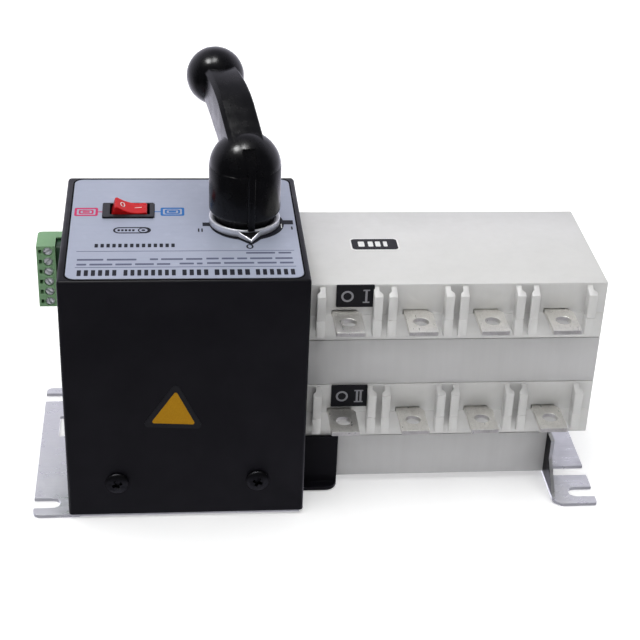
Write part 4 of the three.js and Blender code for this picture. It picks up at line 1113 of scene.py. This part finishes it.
def terminal_plug():
    green = "green_plastic"
    x0, x1, y0, y1, z0, z1 = -122.0, -113.7, 60.0, 75.0, 57.3, 87.5
    plan = corner_rounded([(x0, y0), (x1, y0), (x1, y1), (x0, y1, 2.2)], 8)
    plug = prism("terminal_plug_visual", plan, z0, z1, "z", green)
    tongue = block("tongue", x1 - 0.5, -106.3, 63.3, 70.1, 60.3, 84.3, green)
    shroud = [block("shroud", x1 - 0.5, -107.9, 69.0, y1, 86.9, z1, green),
              block("shroud", x1 - 0.5, -107.9, 72.6, y1, z0, z1, green)]
    boolean(plug, [tongue, *shroud], "UNION")
    cutters = []
    way_z = [(z0 + z1) / 2 + (way - (WAYS - 1) / 2) * WAY_PITCH for way in range(WAYS)]
    for way, z in enumerate(way_z):
        cutters.append(prism("well", circle(x0 + 5, z, 2.15, 32), y0 - 1, y0 + 1.6, "y"))
        entry = rectangle(x0 + 0.9, x0 + 2.3, z - 1, z + 1, 0.15, 2)
        cutters.append(prism("entry", entry, y0 - 1, y0 + 4, "y"))
        if way < WAYS - 1:
            seam = rectangle(x0 - 1, x0 + 0.25, z + 2.4, z + 2.6)
            cutters.append(prism("seam", seam, y0 - 1, y0 + 1, "y"))
    boolean(plug, cutters)
    bevelled(plug, 0.25, 2, 40)
    ridden(plug, "plug")
    turns = [-66, -32, -58, -38, 42, 28]
    for way, (z, turn) in enumerate(zip(way_z, turns), 1):
        bm = bmesh.new()
        add_lathe(bm, [(0, 0), (1.95, 0), (1.95, 0.9), (1.75, 1.15), (1.2, 1.32), (0, 1.36)], 0, 0, 32)
        place = Matrix.Translation((x0 + 5, y0 + 1.55, z)) @ Matrix.Rotation(math.radians(90), 4, "X")
        screw = finished(f"plug_screw_{way}", bm, "bright_plate", place)
        slot = bmesh.new()
        add_prism(slot, rectangle(-2.5, 2.5, -0.32, 0.32), 0.6, 2)
        spin = Matrix.Rotation(math.radians(turn), 4, "Z")
        boolean(screw, [finished("slot", slot, "bright_plate", place @ spin)])
        ridden(screw, "plug")


def terminal_header():
    header = softened("terminal_header", "dark_green_plastic", 0.2, 2)
    ridden(header)


terminal_plug()
terminal_header()


# ---- switch units

LID = ("cream_plastic", 0.22)
TRAY = ("cream_plastic", 0.16)
BASE = ("grey_plastic", 0.3)
UNIT_LOOKS = {
    "upper_unit_lid": (*LID, [(85.25, 85.12)]), "upper_unit_tray": (*TRAY, [(84.95, 85.08)]),
    "upper_unit_base": (*BASE, []), "lower_unit_lid": (*LID, [(36.95, 36.82)]),
    "lower_unit_tray": (*TRAY, [(36.65, 36.78)]), "lower_unit_base": (*BASE, []),
}
for node, (slot, width, seams) in UNIT_LOOKS.items():
    ridden(softened(node, slot, width, seams=seams))


def rating_plate():
    top = 99.5
    white = rectangle(14.4, 35.7, 30.8, 42.2, 2.0, 6)
    dark = rectangle(15.1, 35.0, 31.5, 41.5, 1.6, 6)
    ink("rating_plate_border", [white], "white", top, 0.1)
    ink("rating_plate_field", [dark], "sticker", top + 0.1, 0.04)
    bars = [rectangle(left, right, 34.2, 39.0, 0.5, 4)
            for left, right in ((17.9, 20.6), (22.2, 24.4), (25.4, 27.6), (28.9, 30.6))]
    ink("rating_plate_bars", bars, "white", top + 0.14, 0.04)


def marker_plates():
    """Two black marker plates in front of the first pole: a ring and one or two bars."""
    front = -1.1
    for name, x0, x1, z0, z1, strokes in (("upper", 5.0, 20.8, 89.4, 99.6, 1),
                                          ("lower", 4.9, 20.5, 40.4, 51.0, 2)):
        outline = rectangle(x0, x1, z0, z1, 0.4, 3)
        plate = prism(f"marker_plate_{name}", outline, front, front + 1, "y", "ink_sticker")
        bevelled(plate, 0.15, 2)
        ridden(plate)
        middle = (z0 + z1) / 2
        ring = [(circle(x0 + 4.6, middle, 2.6, 40), circle(x0 + 4.6, middle, 1.75, 40))]
        ink(f"marker_ring_{name}", ring, "grey", front, -0.05, "y")
        numeral = []
        left = x1 - 4.4 - (1.0 if strokes == 2 else 0)
        right = x1 - 2.0
        for edge in (middle - 3.1, middle + 2.5):
            numeral.append(rectangle(left - 0.3, right + 0.1, edge, edge + 0.6))
        for k in range(strokes):
            at = (left + right) / 2 - 0.1 if strokes == 1 else left + 0.9 + k * 1.6
            numeral.append(rectangle(at - 0.45, at + 0.45, middle - 2.6, middle + 2.6))
        ink(f"marker_numeral_{name}", numeral, "grey", front, -0.06, "y")


rating_plate()
marker_plates()


# ---- terminals

SOURCE_TAB_Z = 85.1                    # underside of the upper source tabs
TAB_WIDTH = 12
TAB_THICKNESS = 2
TAB_HOLE = 3.25                        # radius

def source_terminal(node, x, z):
    tin = "tinned_copper"
    left, right, waist = x - TAB_WIDTH / 2, x + TAB_WIDTH / 2, x + 3.8
    outline = corner_rounded([(left, -18.5, 0.5), (right, -18.5, 0.5), (right, -2.6, 0.6),
                              (waist, -0.3, 0.6), (waist, 25.6), (left, 25.6)], 5)
    bar = prism(f"{node}_visual", outline, z, z + TAB_THICKNESS, "z", tin)
    boolean(bar, [prism("hole", circle(x, -9.9, TAB_HOLE), z - 1, z + TAB_THICKNESS + 1)])
    bevelled(bar, 0.22, 3, 40)
    ridden(bar)


def load_bar(node, x):
    tin = "tinned_copper"
    left, right = x - TAB_WIDTH / 2, x + TAB_WIDTH / 2
    levels = (80.5, 80.5 - UNIT_PITCH)
    foot, top = levels[1], levels[0] + TAB_THICKNESS
    side = corner_rounded([(76, foot), (78, foot), (78, top, 0.8), (76, top)], 5)
    upright = prism(f"{node}_visual", side, left, right, "x", tin)
    plan = corner_rounded([(left, 43.6), (right, 43.6), (right, 87.7, 0.6), (left, 87.7, 0.6)], 5)
    boolean(upright, [prism("tab", plan, z, z + TAB_THICKNESS, "z", tin) for z in levels], "UNION")
    boolean(upright, [prism("hole", circle(x, 82.9, TAB_HOLE), z - 1, z + TAB_THICKNESS + 1)
                      for z in levels])
    bevelled(upright, 0.22, 3, 40)
    ridden(upright)


for pole, x in enumerate(POLE_X, 1):
    source_terminal(f"upper_source_terminal_{pole}", x, SOURCE_TAB_Z)
    source_terminal(f"lower_source_terminal_{pole}", x, SOURCE_TAB_Z - UNIT_PITCH)
    load_bar(f"load_bar_{pole}", x)


# ---- CAD nodes that stay

KEPT_NODES = {
    "machined_steel": ["mechanism_deck", "gear_motor", "spindle", "spindle_crank",
                       "transfer_slide", "slide_guide"],
    "gear_brass": ["motor_gear", "drive_gear", "spindle_bush_upper", "spindle_bush_lower"],
    "black_plastic": ["limit_switch_source_1", "limit_switch_source_2", "motor_capacitor",
                      "upper_contact_shaft", "lower_contact_shaft"],
    "board_laminate": ["control_board"],
    "copper": [f"{row}_contact_blade_{pole}" for row in ("upper", "lower") for pole in range(1, 5)],
}
for slot, names in KEPT_NODES.items():
    for name in names:
        nodes[name].data.materials.clear()
        nodes[name].data.materials.append(MATERIALS[slot])
